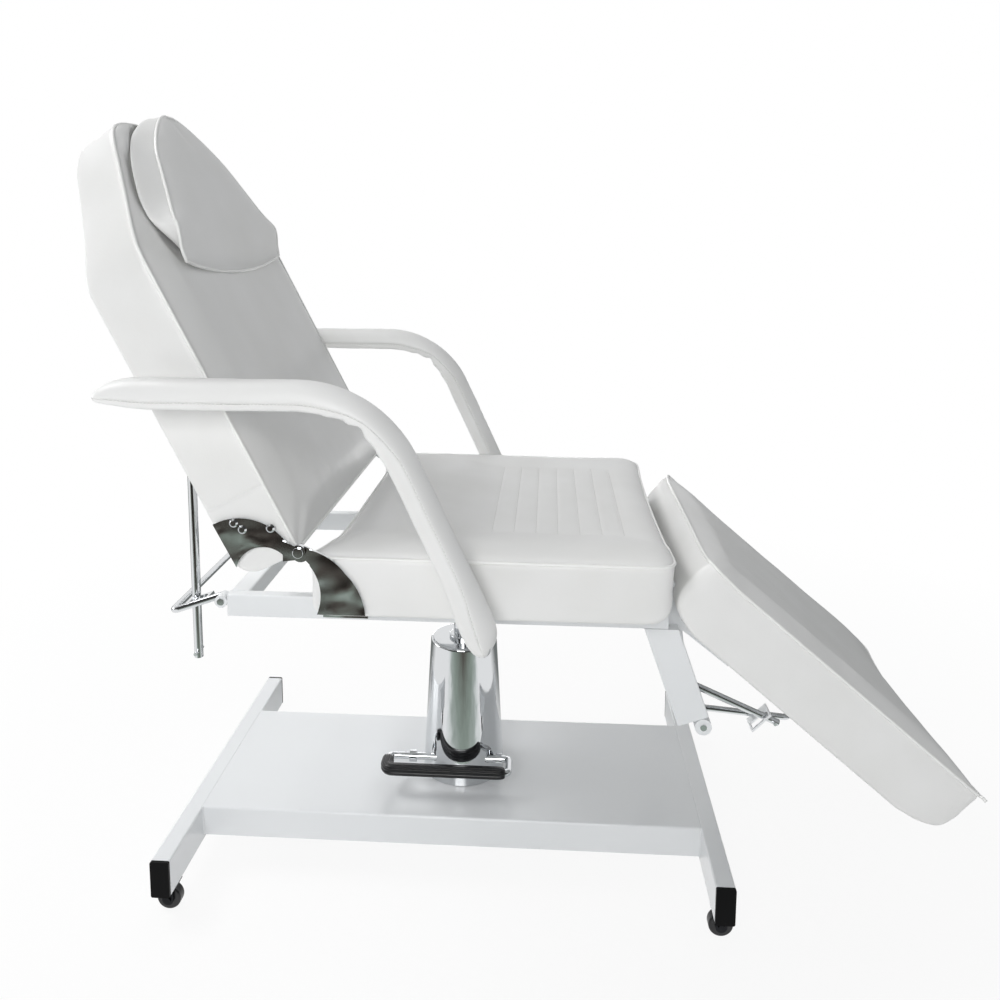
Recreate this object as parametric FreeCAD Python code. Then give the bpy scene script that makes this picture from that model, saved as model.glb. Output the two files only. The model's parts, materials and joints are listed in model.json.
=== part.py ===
import FreeCAD, Part
import math
import os

V = FreeCAD.Vector
os.makedirs("parts", exist_ok=True)

# Beauty treatment chair, millimetres.
# X runs from the head end (rear, negative) to the foot end (front, positive),
# Y to the sitter's left, Z up from the floor.
# Dimensions are taken from the middle of the base; DATUM_X moves everything
# so that the middle of the whole chair stands on the origin.
DATUM_X = 115.885

# Base
BASE_LEG_X = 433.5
BASE_LEG_HALF = 15.0
BASE_Z0 = 42.0
BASE_Z1 = 102.0
BASE_HALF_DEPTH = 295.0
CAP_THICK = 5.0
WALL = 2.0
COVER_HALF_WIDTH = 160.0
COVER_DROP = 50.0
CROSS_Y = 100.0
WHEEL_Y = -262.0
WHEEL_R = 19.0
FOOT_Y = 262.0

# Hydraulic pump
PUMP_X = 12.0
PUMP_COVER_R0 = 73.0
PUMP_COVER_R1 = 59.0
PUMP_TOP = 350.0
PUMP_BODY_R = 40.0
RAM_R = 18.0
RAM_FIT = 0.1
SPIGOT_R = 14.0
SPIGOT_FIT = 0.05
SHOULDER_Z = 398.0
PEDAL_Y = -50.0
PEDAL_Z = 143.0
PEDAL_FRONT_Y = -97.0
PEDAL_X0 = -108.0
PEDAL_X1 = 90.0

# Seat frame
RAIL_Y0 = 205.0
RAIL_Y1 = 225.0
RAIL_Z0 = 472.0
RAIL_Z1 = 508.0
RAIL_X0 = -339.0
RAIL_X1 = 346.0
TUBE_Z0 = 478.0
HANGER_LEAN = 19.5
HANGER_END = (388.5, 324.5)
REAR_BAR = (-349.0, 496.0)
FRONT_BAR = (404.0, 316.0)

# Cushions
PAD_HALF = 312.0
SEAT_X0 = -192.0
SEAT_X1 = 345.0
SEAT_LOW = 514.0
SEAT_SEAM = 603.0
SEAT_CROWN = 16.0
SEAT_SCOOP = 30.0
SEAT_CHANNELS = (74.0, 108.0, 142.0, 176.0, 210.0, 244.0, 278.0)
BACK_HINGE = V(-197.0, 0, 613.0)
BACK_LEAN = math.radians(63.1)
BACK_SEAM = -2.0
BACK_REAR = -99.0
BACK_CROWN = 10.0
BACK_SEW = 110.0
LEG_HINGE = V(352.0, 0, 528.0)
LEG_DROP = math.radians(40.2)
LEG_HALF = 260.0
LEG_LOW = -22.4
LEG_SEAM = 74.0
LEG_CROWN = 10.0
LEG_END = 546.0
BOARD = 10.0

# Hinge plates at both sides of the seat
PLATE_OUT = 314.0
PLATE_THICK = 4.0

# Back support rod, pivot on the backrest and lock on the frame
ROD_A = (-411.0, 745.0)
ROD_A_Y = -168.0
ROD_A_R = 7.0
ROD_A_LOCK = (-411.0, 473.0)
ROD_A_TIP = 376.0
REAR_ARM_Y = 190.0
REAR_END = (-443.0, 463.0)
REAR_BAR_R = 5.5

# Leg support rod, pivot on the leg lever and lock on the front bar
ROD_B = (372.0, 374.0)
ROD_B_TIP = (528.0, 305.0)
ROD_B_Y = -184.0
ROD_B_R = 5.5
ROD_B_LOCK = (505.0, 315.2)
FRONT_ARM_Y = 163.0
FRONT_END = (552.0, 303.0)
FRONT_BAR_R = 5.0

# Armrests
ARM_Y = 357.0
ARM_WIDE = 62.0
ARM_THICK = 40.0
ARM_CORNER = 13.0
ARM_TOP_Z = 850.0
ARM_TIP_X = -460.0
ARM_TURN = math.radians(65.0)
ARM_BEND = 165.0
ARM_CORNER_X = -78.7
ARM_DOWN = 398.0
ARM_PIVOT = (74.5, 501.0)
ARM_BAR_R = 6.5
CORE_WIDE = 30.0
CORE_THICK = 8.0

SIDES = (-1, 1)


def box(x0, x1, y0, y1, z0, z1):
    return Part.makeBox(x1 - x0, abs(y1 - y0), z1 - z0, V(x0, min(y0, y1), z0))


def rod(radius, start, end):
    way = end - start
    return Part.makeCylinder(radius, way.Length, start, way)


def rod_y(radius, spot, y0, y1):
    return rod(radius, V(spot[0], y0, spot[1]), V(spot[0], y1, spot[1]))


def rod_z(radius, x, y, z0, z1):
    return rod(radius, V(x, y, z0), V(x, y, z1))


def fuse(solids):
    return solids[0].multiFuse(list(solids[1:])).removeSplitter()


def rounded(solid, axis, radius):
    edges = []
    for edge in solid.Edges:
        if abs(edge.tangentAt(edge.FirstParameter).dot(axis)) > 0.999:
            edges.append(edge)
    return solid.makeFillet(radius, edges)


def tube_x(x0, x1, y0, y1, z0, z1, wall, corner):
    outer = rounded(box(x0, x1, y0, y1, z0, z1), V(1, 0, 0), corner)
    low = min(y0, y1) + wall
    high = max(y0, y1) - wall
    return outer.cut(box(x0 - 1, x1 + 1, low, high, z0 + wall, z1 - wall))


def tube_y(x0, x1, y0, y1, z0, z1, wall, corner):
    outer = rounded(box(x0, x1, y0, y1, z0, z1), V(0, 1, 0), corner)
    return outer.cut(box(x0 + wall, x1 - wall, y0 - 1, y1 + 1, z0 + wall, z1 - wall))


def trace(start, steps):
    """Closed or open wire; a step of one point is a line, of two points an arc."""
    edges = []
    here = start
    for step in steps:
        if len(step) == 1:
            edges.append(Part.LineSegment(here, step[0]).toShape())
        else:
            edges.append(Part.Arc(here, step[0], step[1]).toShape())
        here = step[-1]
    return Part.Wire(edges)


def at(frame, along, side, up):
    origin, run, rise = frame
    return origin + run * along + V(0, 1, 0) * side + rise * up


def prism(frame, y0, y1, start, steps):
    """Plate or block: an outline in the frame's side view carried from y0 to y1."""
    low = min(y0, y1)
    points = [[at(frame, p[0], low, p[1]) for p in step] for step in steps]
    wire = trace(at(frame, start[0], low, start[1]), points)
    return Part.Face(wire).extrude(V(0, abs(y1 - y0), 0))


def bent_bar(radius, points, bend):
    """Round bar through corner points, every inner corner turned to one radius."""
    edges = []
    here = points[0]
    for before, corner, after in zip(points, points[1:], points[2:]):
        back = (before - corner).normalize()
        ahead = (after - corner).normalize()
        half = back.getAngle(ahead) / 2
        reach = bend / math.tan(half)
        start = corner + back * reach
        end = corner + ahead * reach
        middle = corner + (back + ahead).normalize() * (bend / math.sin(half) - bend)
        edges.append(Part.LineSegment(here, start).toShape())
        edges.append(Part.Arc(start, middle, end).toShape())
        here = end
    edges.append(Part.LineSegment(here, points[-1]).toShape())
    first = Part.Wire(Part.Circle(points[0], points[1] - points[0], radius).toShape())
    return Part.Wire(edges).makePipeShell([first], True, False)


def pad_section(frame, station, drawn, hollow):
    """Cushion section: base, two drawn-in sides and a crowned top."""
    along, half, crown, base_half, low, high = station
    mid = (low + high) / 2
    waist = (half + base_half) / 2 - drawn
    corner = at(frame, along, -base_half, low)
    other = at(frame, along, base_half, low)
    if hollow > 0:
        base = (at(frame, along, 0, low + hollow), other)
    else:
        base = (other,)
    return trace(corner, [
        base,
        (at(frame, along, waist, mid), at(frame, along, half, high)),
        (at(frame, along, 0, high + crown), at(frame, along, -half, high)),
        (at(frame, along, -waist, mid), corner),
    ])


def cushion(frame, stations, drawn, hollow):
    """Loft through sections (along, half width, crown, half width of base, base height, seam height)."""
    wires = [pad_section(frame, station, drawn, hollow) for station in stations]
    return Part.makeLoft(wires, True, True)


def upright(stations, low, high):
    """Sections (along, half width, crown) with upright sides between two heights."""
    return [(along, half, crown, half, low, high) for along, half, crown in stations]


def hex_bolt(x, y, seat_z, shank, length, flat, head):
    points = []
    for k in range(7):
        turn = math.radians(60 * k)
        reach = flat / math.sqrt(3)
        points.append(V(x + reach * math.cos(turn), y + reach * math.sin(turn), seat_z))
    top = Part.Face(Part.makePolygon(points)).extrude(V(0, 0, head))
    nut = top.copy()
    nut.translate(V(0, 0, -length - head))
    return fuse([top, rod_z(shank, x, y, seat_z - length - head - 2, seat_z), nut])


SIDE_VIEW = (V(0, 0, 0), V(1, 0, 0), V(0, 0, 1))
BACK = (
    BACK_HINGE,
    V(-math.cos(BACK_LEAN), 0, math.sin(BACK_LEAN)),
    V(math.sin(BACK_LEAN), 0, math.cos(BACK_LEAN)),
)
LEG = (
    LEG_HINGE,
    V(math.cos(LEG_DROP), 0, -math.sin(LEG_DROP)),
    V(math.sin(LEG_DROP), 0, math.cos(LEG_DROP)),
)
HINGE = (BACK_HINGE, V(1, 0, 0), V(0, 0, 1))
nodes = {}

# Base: two cross legs, a folded cover over two tubes, caps, wheels and feet
caps = []
forks = []
axles = []
feet = []
for end, name in ((-1, "rear"), (1, "front")):
    x = end * BASE_LEG_X
    x0 = x - BASE_LEG_HALF
    x1 = x + BASE_LEG_HALF
    nodes[name + "_base_leg"] = tube_y(x0, x1, -BASE_HALF_DEPTH, BASE_HALF_DEPTH, BASE_Z0, BASE_Z1, WALL, 3)
    for side in SIDES:
        y = side * BASE_HALF_DEPTH
        plate = rounded(box(x0, x1, y, y + side * CAP_THICK, BASE_Z0, BASE_Z1), V(0, 1, 0), 3)
        skin = WALL + 0.3
        plug = box(x0 + skin, x1 - skin, y, y - side * 20, BASE_Z0 + skin, BASE_Z1 - skin)
        core = box(x0 + skin + 2, x1 - skin - 2, y, y - side * 21, BASE_Z0 + skin + 2, BASE_Z1 - skin - 2)
        caps.append(plate.fuse(plug.cut(core)).removeSplitter())
    fork = box(x - 14, x + 14, WHEEL_Y - 13, WHEEL_Y + 13, BASE_Z0 - 2, BASE_Z0)
    for side in SIDES:
        cheek_y = WHEEL_Y + side * 10.5
        cheek = rod_y(9, (x, WHEEL_R), cheek_y, cheek_y + side * 2.5)
        web = box(x - 9, x + 9, cheek_y, cheek_y + side * 2.5, WHEEL_R, BASE_Z0 - 2)
        fork = fork.fuse(cheek.fuse(web))
    fork = fork.removeSplitter().cut(rod_y(3, (x, WHEEL_R), WHEEL_Y - 20, WHEEL_Y + 20))
    forks.append(fork)
    axle = rod_y(3, (x, WHEEL_R), WHEEL_Y - 13, WHEEL_Y + 13)
    for side in SIDES:
        axle = axle.fuse(rod_y(5, (x, WHEEL_R), WHEEL_Y + side * 13, WHEEL_Y + side * 15.5))
    axles.append(axle.removeSplitter())
    tread = rod_y(WHEEL_R, (x, WHEEL_R), WHEEL_Y - 9, WHEEL_Y + 9)
    tread = tread.makeFillet(3, [edge for edge in tread.Edges if edge.Closed])
    nodes[name + "_wheel"] = tread.cut(rod_y(3.05, (x, WHEEL_R), WHEEL_Y - 20, WHEEL_Y + 20))
    disc = rod_z(20, x, FOOT_Y, 0, 12)
    disc = disc.makeFillet(3, [edge for edge in disc.Edges if edge.Closed])
    feet.append(disc.fuse(rod_z(7, x, FOOT_Y, 12, BASE_Z0)).removeSplitter())
nodes["base_leg_caps"] = Part.makeCompound(caps)
nodes["wheel_forks"] = Part.makeCompound(forks)
nodes["wheel_axles"] = Part.makeCompound(axles)
nodes["base_feet"] = Part.makeCompound(feet)

INNER_X = BASE_LEG_X - BASE_LEG_HALF
cover_x = INNER_X - 0.3
sheet = rounded(
    box(-cover_x, cover_x, -COVER_HALF_WIDTH, COVER_HALF_WIDTH, BASE_Z0 - 10, BASE_Z1), V(1, 0, 0), 4)
inside = rounded(
    box(-cover_x - 1, cover_x + 1, 2 - COVER_HALF_WIDTH, COVER_HALF_WIDTH - 2, 0, BASE_Z1 - 2), V(1, 0, 0), 2)
sheet = sheet.cut(inside)
sheet = sheet.common(box(-500, 500, -200, 200, BASE_Z1 - COVER_DROP, BASE_Z1))
BOLT_RING = 55.0
bolt_spots = []
for k in range(4):
    turn = math.radians(45 + 90 * k)
    bolt_spots.append((PUMP_X + BOLT_RING * math.cos(turn), BOLT_RING * math.sin(turn)))
bolt_holes = Part.makeCompound([rod_z(5, x, y, 80, 120) for x, y in bolt_spots])
nodes["base_cover"] = sheet.cut(bolt_holes)
nodes["base_cross_tubes"] = Part.makeCompound([
    tube_x(-INNER_X, INNER_X, side * CROSS_Y - 20, side * CROSS_Y + 20, 60, 100, WALL, 3) for side in SIDES])
plate = box(PUMP_X - 90, PUMP_X + 90, 20 - CROSS_Y, CROSS_Y - 20, 92, 100)
nodes["pump_mount_plate"] = plate.cut(bolt_holes)
nodes["pump_bolts"] = Part.makeCompound([hex_bolt(x, y, 110, 5, 18, 17, 6) for x, y in bolt_spots])

# Pump body with flange, chrome cover, gland and foot pedal
body = fuse([rod_z(68, PUMP_X, 0, BASE_Z1, 110), rod_z(PUMP_BODY_R, PUMP_X, 0, 110, PUMP_TOP - 5.5)])
bore = rod_z(RAM_R + RAM_FIT, PUMP_X, 0, 112, PUMP_TOP + 10)
nodes["pump_body"] = body.cut(bore).cut(bolt_holes)
shell = Part.makeCone(PUMP_COVER_R0, PUMP_COVER_R1, PUMP_TOP - 103, V(PUMP_X, 0, 103))
shell = shell.makeFillet(5, [edge for edge in shell.Edges if edge.Closed and edge.BoundBox.ZMin > 300])
hollow = Part.makeCone(PUMP_COVER_R0 - 2, PUMP_COVER_R1 - 2, PUMP_TOP - 108, V(PUMP_X, 0, 103))
shell = shell.cut(hollow).cut(rod_z(RAM_R + 4, PUMP_X, 0, 300, 400))
shaft_way = rod(6.4, V(PUMP_X - 90, PEDAL_Y, PEDAL_Z), V(PUMP_X + 90, PEDAL_Y, PEDAL_Z))
nodes["pump_cover"] = shell.cut(shaft_way)
gland = rod_z(26, PUMP_X, 0, PUMP_TOP, PUMP_TOP + 6)
gland_rim = [edge for edge in gland.Edges if edge.Closed and edge.BoundBox.ZMin > PUMP_TOP + 1]
gland = gland.makeFillet(2, gland_rim)
nodes["pump_gland"] = gland.cut(bore)

PEDAL_R = 6.0
left = V(PEDAL_X0 + 4, PEDAL_Y, PEDAL_Z)
right = V(PEDAL_X1 - 4, PEDAL_Y, PEDAL_Z)
front_left = V(PEDAL_X0 - 8, PEDAL_FRONT_Y, PEDAL_Z + 2)
front_right = V(PEDAL_X1 + 8, PEDAL_FRONT_Y, PEDAL_Z + 2)
loop = bent_bar(PEDAL_R, [left, V(PEDAL_X0 - 8, PEDAL_Y, PEDAL_Z), front_left, front_right,
                          V(PEDAL_X1 + 8, PEDAL_Y, PEDAL_Z), right], 9)
shaft = rod(PEDAL_R, left, right)
nodes["pedal_loop"] = fuse([loop, shaft])
sleeve = box(PEDAL_X0 - 18, PEDAL_X1 + 18, PEDAL_FRONT_Y - 11, PEDAL_FRONT_Y + 11, PEDAL_Z - 8, PEDAL_Z + 12)
sleeve = rounded(sleeve, V(0, 0, 1), 10.5)
sleeve = sleeve.makeFillet(5, [edge for edge in sleeve.Edges if edge.BoundBox.ZLength < 0.001])
nodes["pedal_pad"] = sleeve.cut(nodes["pedal_loop"])
collars = []
for x0, x1 in ((PEDAL_X0 + 28, PEDAL_X0 + 40), (PEDAL_X1 - 16.5, PEDAL_X1 - 6)):
    collar = rod(10, V(x0, PEDAL_Y, PEDAL_Z), V(x1, PEDAL_Y, PEDAL_Z))
    collars.append(collar.cut(shaft))
nodes["pedal_collars"] = Part.makeCompound(collars)

# Ram and thrust washer
ram = fuse([
    rod_z(RAM_R, PUMP_X, 0, 156, SHOULDER_Z),
    rod_z(SPIGOT_R, PUMP_X, 0, SHOULDER_Z, 462),
])
nodes["pump_ram"] = ram
nodes["thrust_washer"] = rod_z(25, PUMP_X, 0, SHOULDER_Z, SHOULDER_Z + 2).cut(
    rod_z(SPIGOT_R, PUMP_X, 0, 390, 410))

# Seat frame: hub, plate, rails, cross tubes, hangers, sleeves, lugs, arm bars
hub = fuse([rod_z(32, PUMP_X, 0, SHOULDER_Z + 2.2, 472), rod_z(50, PUMP_X, 0, 464, 472)])
nodes["swivel_hub"] = hub.cut(rod_z(SPIGOT_R + SPIGOT_FIT, PUMP_X, 0, 390, 480))
nodes["hub_plate"] = rounded(box(PUMP_X - 115, PUMP_X + 115, -70, 70, 472, TUBE_Z0), V(0, 0, 1), 8)
rails = []
hangers = []
rear_sleeves = []
front_sleeves = []
lugs = []
arm_bars = []
lean = math.radians(HANGER_LEAN)
HANGER = (V(HANGER_END[0], 0, HANGER_END[1]), V(-math.sin(lean), 0, math.cos(lean)),
          V(math.cos(lean), 0, math.sin(lean)))
for side in SIDES:
    y0 = side * RAIL_Y0
    y1 = side * RAIL_Y1
    rail = tube_x(RAIL_X0, RAIL_X1, y0, y1, RAIL_Z0, RAIL_Z1, WALL, 3)
    rails.append(rail)
    outer = rounded(prism(HANGER, y0, y1, (0, -25), [((180, -25),), ((180, 25),), ((0, 25),), ((0, -25),)]),
                    HANGER[1], 3)
    inner = prism(HANGER, y0 + side * 2, y1 - side * 2, (2, -23),
                  [((180, -23),), ((180, 23),), ((2, 23),), ((2, -23),)])
    lid = box(300, 380, y0, y1, RAIL_Z0 - 2, RAIL_Z0)
    hollow = inner.cut(lid)
    below = box(250, 460, y0, y1, 280, RAIL_Z0)
    hangers.append(outer.cut(hollow).common(below))
    rear_sleeve = rod_y(10, REAR_BAR, side * 204, side * 226).cut(
        rod_y(REAR_BAR_R + 0.08, REAR_BAR, side * 200, side * 230))
    rear_sleeves.append(rear_sleeve)
    front_sleeve = rod_y(13, FRONT_BAR, side * 204, side * 226).cut(
        rod_y(FRONT_BAR_R + 0.08, FRONT_BAR, side * 200, side * 230))
    front_sleeves.append(front_sleeve)
    lug = prism(SIDE_VIEW, side * 199, side * 205, (300, 472), [
        ((334, 472),), ((361.5, 522.5),), ((361.5, 533.5), (352, 539)), ((342.5, 533.5), (341, 528)),
        ((334, 506),), ((300, 506),), ((300, 472),)])
    lug = lug.cut(rod_y(5.05, (LEG_HINGE.x, LEG_HINGE.z), side * 190, side * 210))
    lugs.append(lug)
    arm_bar = rod_y(ARM_BAR_R, ARM_PIVOT, side * RAIL_Y1, side * (ARM_Y + 18))
    arm_bars.append(arm_bar)
rear_sleeves = [s.cut(Part.makeCompound(rails)) for s in rear_sleeves]
front_sleeves = [s.cut(Part.makeCompound(hangers)) for s in front_sleeves]
nodes["seat_rails"] = Part.makeCompound(rails)
nodes["leg_hangers"] = Part.makeCompound(hangers)
nodes["rear_bar_sleeves"] = Part.makeCompound(rear_sleeves)
nodes["front_bar_sleeves"] = Part.makeCompound(front_sleeves)
nodes["leg_pivot_lugs"] = Part.makeCompound(lugs)
nodes["arm_pivot_bars"] = Part.makeCompound(arm_bars)
cross_tubes = []
for x in (RAIL_X0, PUMP_X - 110, PUMP_X + 80, 296.0):
    cross_tubes.append(tube_y(x, x + 30, -RAIL_Y0, RAIL_Y0, TUBE_Z0, RAIL_Z1, WALL, 3))
lug_block = Part.makeCompound(lugs)
nodes["seat_cross_tubes"] = Part.makeCompound([tube.cut(lug_block) for tube in cross_tubes])

# Seat cushion over a plywood board
stations = [(SEAT_X0, 298, 2), (SEAT_X0 + 6, 307, 6), (SEAT_X0 + 20, PAD_HALF, 11),
            (-130, PAD_HALF, SEAT_CROWN)]
for x in SEAT_CHANNELS:
    stations += [(x - 4, PAD_HALF, SEAT_CROWN), (x, PAD_HALF, SEAT_CROWN - 2.2),
                 (x + 4, PAD_HALF, SEAT_CROWN)]
stations += [(304, PAD_HALF, SEAT_CROWN), (322, PAD_HALF - 3, 12), (334, PAD_HALF - 9, 8),
             (341, PAD_HALF - 18, 4), (SEAT_X1, PAD_HALF - 32, 0.5)]
seat = cushion(SIDE_VIEW, upright(stations, SEAT_LOW, SEAT_SEAM), 3, 0)
scoop_r = (PAD_HALF ** 2 + SEAT_SCOOP ** 2) / (2 * SEAT_SCOOP)
scoop = Part.makeCylinder(scoop_r, 200, V(SEAT_X0 + SEAT_SCOOP - scoop_r, 0, SEAT_LOW - 50))
seat = seat.cut(scoop)
board = box(-150, 322, -285, 285, RAIL_Z1, RAIL_Z1 + BOARD + 2)
seat = seat.cut(box(-150, 322, -285, 285, SEAT_LOW - 5, RAIL_Z1 + BOARD + 2))
lug_slots = []
for side in SIDES:
    lug_slots.append(box(322, 350, side * 186, side * 208, SEAT_LOW - 5, 546))
    lug_slots.append(box(BACK_HINGE.x + 26, BACK_HINGE.x + 95, side * 285, side * 320, SEAT_LOW - 5, 526))
nodes["seat_cushion"] = seat.cut(Part.makeCompound(lug_slots))
nodes["seat_board"] = board.cut(lug_block)

# Hinge plates: quarter-ring plates joggled past each other at the pivot
seat_plates = []
back_plates = []
rivets = []
screws = []
for side in SIDES:
    y0 = side * PLATE_OUT
    y1 = side * (PLATE_OUT + PLATE_THICK)
    low_y = side * (PLATE_OUT - 1.9)
    low_y1 = side * (PLATE_OUT + 2.1)
    high_y = side * (PLATE_OUT + 2.3)
    high_y1 = side * (PLATE_OUT + 6.3)
    wing = prism(HINGE, y0, y1, (16, 4), [
        ((51, -13), (68, -31)), ((87, -58), (96, -93)), ((25, -93),), ((29, -47), (16, -20)), ((16, 4),)])
    eye = prism(HINGE, low_y, low_y1, (0, 11), [
        ((11, 7.5),), ((20, 3),), ((22, -26),), ((10, -13),), ((-11, 0), (0, 11))])
    plate_x0 = BACK_HINGE.x + 27
    plate_x1 = BACK_HINGE.x + 94
    lip = box(plate_x0, plate_x1, side * RAIL_Y1, side * 290, 504, RAIL_Z1)
    web = box(plate_x0, plate_x1, side * 286, side * 290, 504, 525)
    ledge = box(plate_x0, plate_x1, side * 286, y0, 521, 525)
    seat_plate = fuse([wing, eye, lip, web, ledge])
    back_wing = prism(BACK, y0, y1, (90, -94), [
        ((78, -47), (17, -8)), ((-2, -20),), ((18, -29), (19, -93)), ((90, -94),)])
    back_eye = prism(BACK, high_y, high_y1, (11, 0), [
        ((25, -12),), ((-2, -26),), ((-9, -6),), ((-7, 7), (0, 11)), ((8, 8), (11, 0))])
    back_plate = fuse([back_wing, back_eye])
    bolt_hole = rod_y(5, (BACK_HINGE.x, BACK_HINGE.z), side * 300, side * 330)
    seat_plates.append(seat_plate.cut(rod_y(5.06, (BACK_HINGE.x, BACK_HINGE.z), side * 300, side * 330)))
    spots = ((79, -65), (65, -58), (49, -20))
    spots = [at(BACK, s, 0, h) for s, h in spots]
    for spot in spots:
        back_plate = back_plate.cut(rod_y(3, (spot.x, spot.z), side * 300, side * 330))
        head = Part.makeCone(6.5, 4, 2.5, V(spot.x, y1, spot.z), V(0, side, 0))
        screws.append(fuse([head, rod_y(3, (spot.x, spot.z), side * (PLATE_OUT - 28), y1)]))
    back_plates.append(back_plate.cut(bolt_hole))
    rivet = rod_y(5, (BACK_HINGE.x, BACK_HINGE.z), low_y, high_y1)
    head = rod_y(8, (BACK_HINGE.x, BACK_HINGE.z), high_y1, high_y1 + side * 3)
    head = head.makeFillet(1.5, [e for e in head.Edges if e.Closed and abs(e.BoundBox.YMin) > 322.5])
    rivets.append(fuse([rivet, head]))
nodes["seat_hinge_plates"] = Part.makeCompound(seat_plates)
nodes["back_hinge_plates"] = Part.makeCompound(back_plates)
nodes["hinge_rivets"] = Part.makeCompound(rivets)
nodes["back_plate_screws"] = Part.makeCompound(screws)

# Backrest cushion with shaped head end, board, rod bracket
stations = [(-8, PAD_HALF - 2, 2), (12, PAD_HALF, 4), (40, PAD_HALF, 8), (BACK_SEW - 4, PAD_HALF, BACK_CROWN),
            (BACK_SEW, PAD_HALF - 1, BACK_CROWN - 2), (BACK_SEW + 4, PAD_HALF, BACK_CROWN),
            (462, PAD_HALF, BACK_CROWN)]
head_end = [(490, 308, 10, 298, -96), (514, 296, 10, 280, -93), (571, 259, 9, 241, -89),
            (630, 221, 8, 203, -86), (665, 199, 7, 180, -84), (680, 186, 6, 167, -83),
            (691, 170, 5, 152, -82), (699, 148, 3, 132, -82),
            (705, 112, 1, 98, -82)]
sections = upright(stations, BACK_REAR, BACK_SEAM) + [station + (BACK_SEAM,) for station in head_end]
back = cushion(BACK, sections, 3, 0)
side_line = prism(BACK, -330, 330, (2, 30), [
    ((2, -2),), ((-5, -16), (-5, -40)), ((-4, -75), (16, BACK_REAR - 1)), ((24, BACK_REAR - 14),),
    ((693, BACK_REAR - 14),), ((693, -83),), ((703, -73), (705.5, -45)), ((706, -8),),
    ((706, 30),), ((2, 30),)])
back = back.common(side_line)


def back_panel(low, high):
    """Rectangle on the back of the cushion between two heights."""
    return prism(BACK, -280, 280, (40, low), [((452, low),), ((452, high),), ((40, high),), ((40, low),)])


back_board = back_panel(BACK_REAR + 1, BACK_REAR + 13)
back = back.cut(back_panel(BACK_REAR - 3, BACK_REAR + 13))
screw_holes = Part.makeCompound(screws)
nodes["back_cushion"] = back.cut(screw_holes)
nodes["back_board"] = back_board.cut(screw_holes)
pivot = V(ROD_A[0], 0, ROD_A[1]) - BACK_HINGE
rod_s = pivot.dot(BACK[1])
rod_h = pivot.dot(BACK[2])
ears = []
for y in (ROD_A_Y - 14, ROD_A_Y + 10):
    ears.append(prism(BACK, y, y + 4, (rod_s - 30, BACK_REAR - 3), [
        ((rod_s + 30, BACK_REAR - 3),), ((rod_s + 11, rod_h),), ((rod_s, rod_h - 11), (rod_s - 11, rod_h)),
        ((rod_s - 30, BACK_REAR - 3),)]))
foot = prism(BACK, ROD_A_Y - 26, ROD_A_Y + 26, (rod_s - 40, BACK_REAR + 1), [
    ((rod_s + 40, BACK_REAR + 1),), ((rod_s + 40, BACK_REAR - 3),), ((rod_s - 40, BACK_REAR - 3),),
    ((rod_s - 40, BACK_REAR + 1),)])
pin = rod_y(5, ROD_A, ROD_A_Y - 16, ROD_A_Y + 16)
nodes["back_rod_bracket"] = fuse(ears + [foot, pin])

# Support rod of the backrest with its eye and stop pin
eye = rod_y(11, ROD_A, ROD_A_Y - 9, ROD_A_Y + 9)
stem = rod_z(ROD_A_R, ROD_A[0], ROD_A_Y, ROD_A_TIP, ROD_A[1])
stop = rod_y(3, (ROD_A[0], ROD_A_TIP + 10), ROD_A_Y - 15, ROD_A_Y + 15)
back_rod = fuse([eye, stem, stop])
nodes["back_support_rod"] = back_rod.cut(rod_y(5.06, ROD_A, ROD_A_Y - 20, ROD_A_Y + 20))

# Release bar behind the seat, with the lock plate round the rod
loop = bent_bar(REAR_BAR_R, [
    V(REAR_BAR[0], -228, REAR_BAR[1]), V(REAR_BAR[0], -REAR_ARM_Y, REAR_BAR[1]),
    V(REAR_END[0], -REAR_ARM_Y, REAR_END[1]), V(REAR_END[0], REAR_ARM_Y, REAR_END[1]),
    V(REAR_BAR[0], REAR_ARM_Y, REAR_BAR[1]), V(REAR_BAR[0], 228, REAR_BAR[1])], 12)
nodes["back_release_bar"] = loop
tilt = math.atan2(REAR_BAR[1] - REAR_END[1], REAR_BAR[0] - REAR_END[0])
LOCK_A = (V(ROD_A_LOCK[0], 0, ROD_A_LOCK[1]), V(math.cos(tilt), 0, math.sin(tilt)),
          V(-math.sin(tilt), 0, math.cos(tilt)))
grip = prism(LOCK_A, 3 - REAR_ARM_Y, ROD_A_Y + 16, (-18, -2.5), [
    ((25, -2.5),), ((25, 2.5),), ((-18, 2.5),), ((-18, -2.5),)])
slot = box(ROD_A_LOCK[0] - 11, ROD_A_LOCK[0] + 18, ROD_A_Y - 10, ROD_A_Y + 10, 440, 510)
slot = rounded(slot, V(0, 0, 1), 9)
nodes["back_lock_plate"] = grip.cut(slot).cut(loop)

# Leg rest cushion, board, bars and pivots
stations = [(-3.5, LEG_HALF - 8, 2), (8, LEG_HALF - 1, 6), (30, LEG_HALF, LEG_CROWN),
            (500, LEG_HALF, LEG_CROWN), (525, LEG_HALF - 2, 8), (537, LEG_HALF - 8, 5),
            (543, LEG_HALF - 15, 3), (LEG_END, LEG_HALF - 24, 1)]
leg = cushion(LEG, upright(stations, LEG_LOW, LEG_SEAM), 3, 0)
side_line = prism(LEG, -280, 280, (-6, 8), [
    ((-6, 60),), ((-2, 72), (4, 78)), ((4, 100),), ((LEG_END + 2, 100),), ((LEG_END + 2, 66),),
    ((LEG_END - 10, 14), (488, -25)), ((488, -40),), ((50, -40),), ((50, -25),), ((10, -12), (-6, 8))])
leg = leg.common(side_line)
HOLLOW_R = 2822.0
scoop = Part.makeCylinder(HOLLOW_R, 200, at(LEG, LEG_END - 11 + HOLLOW_R, 0, -60), LEG[2])
leg = leg.cut(scoop)
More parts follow.
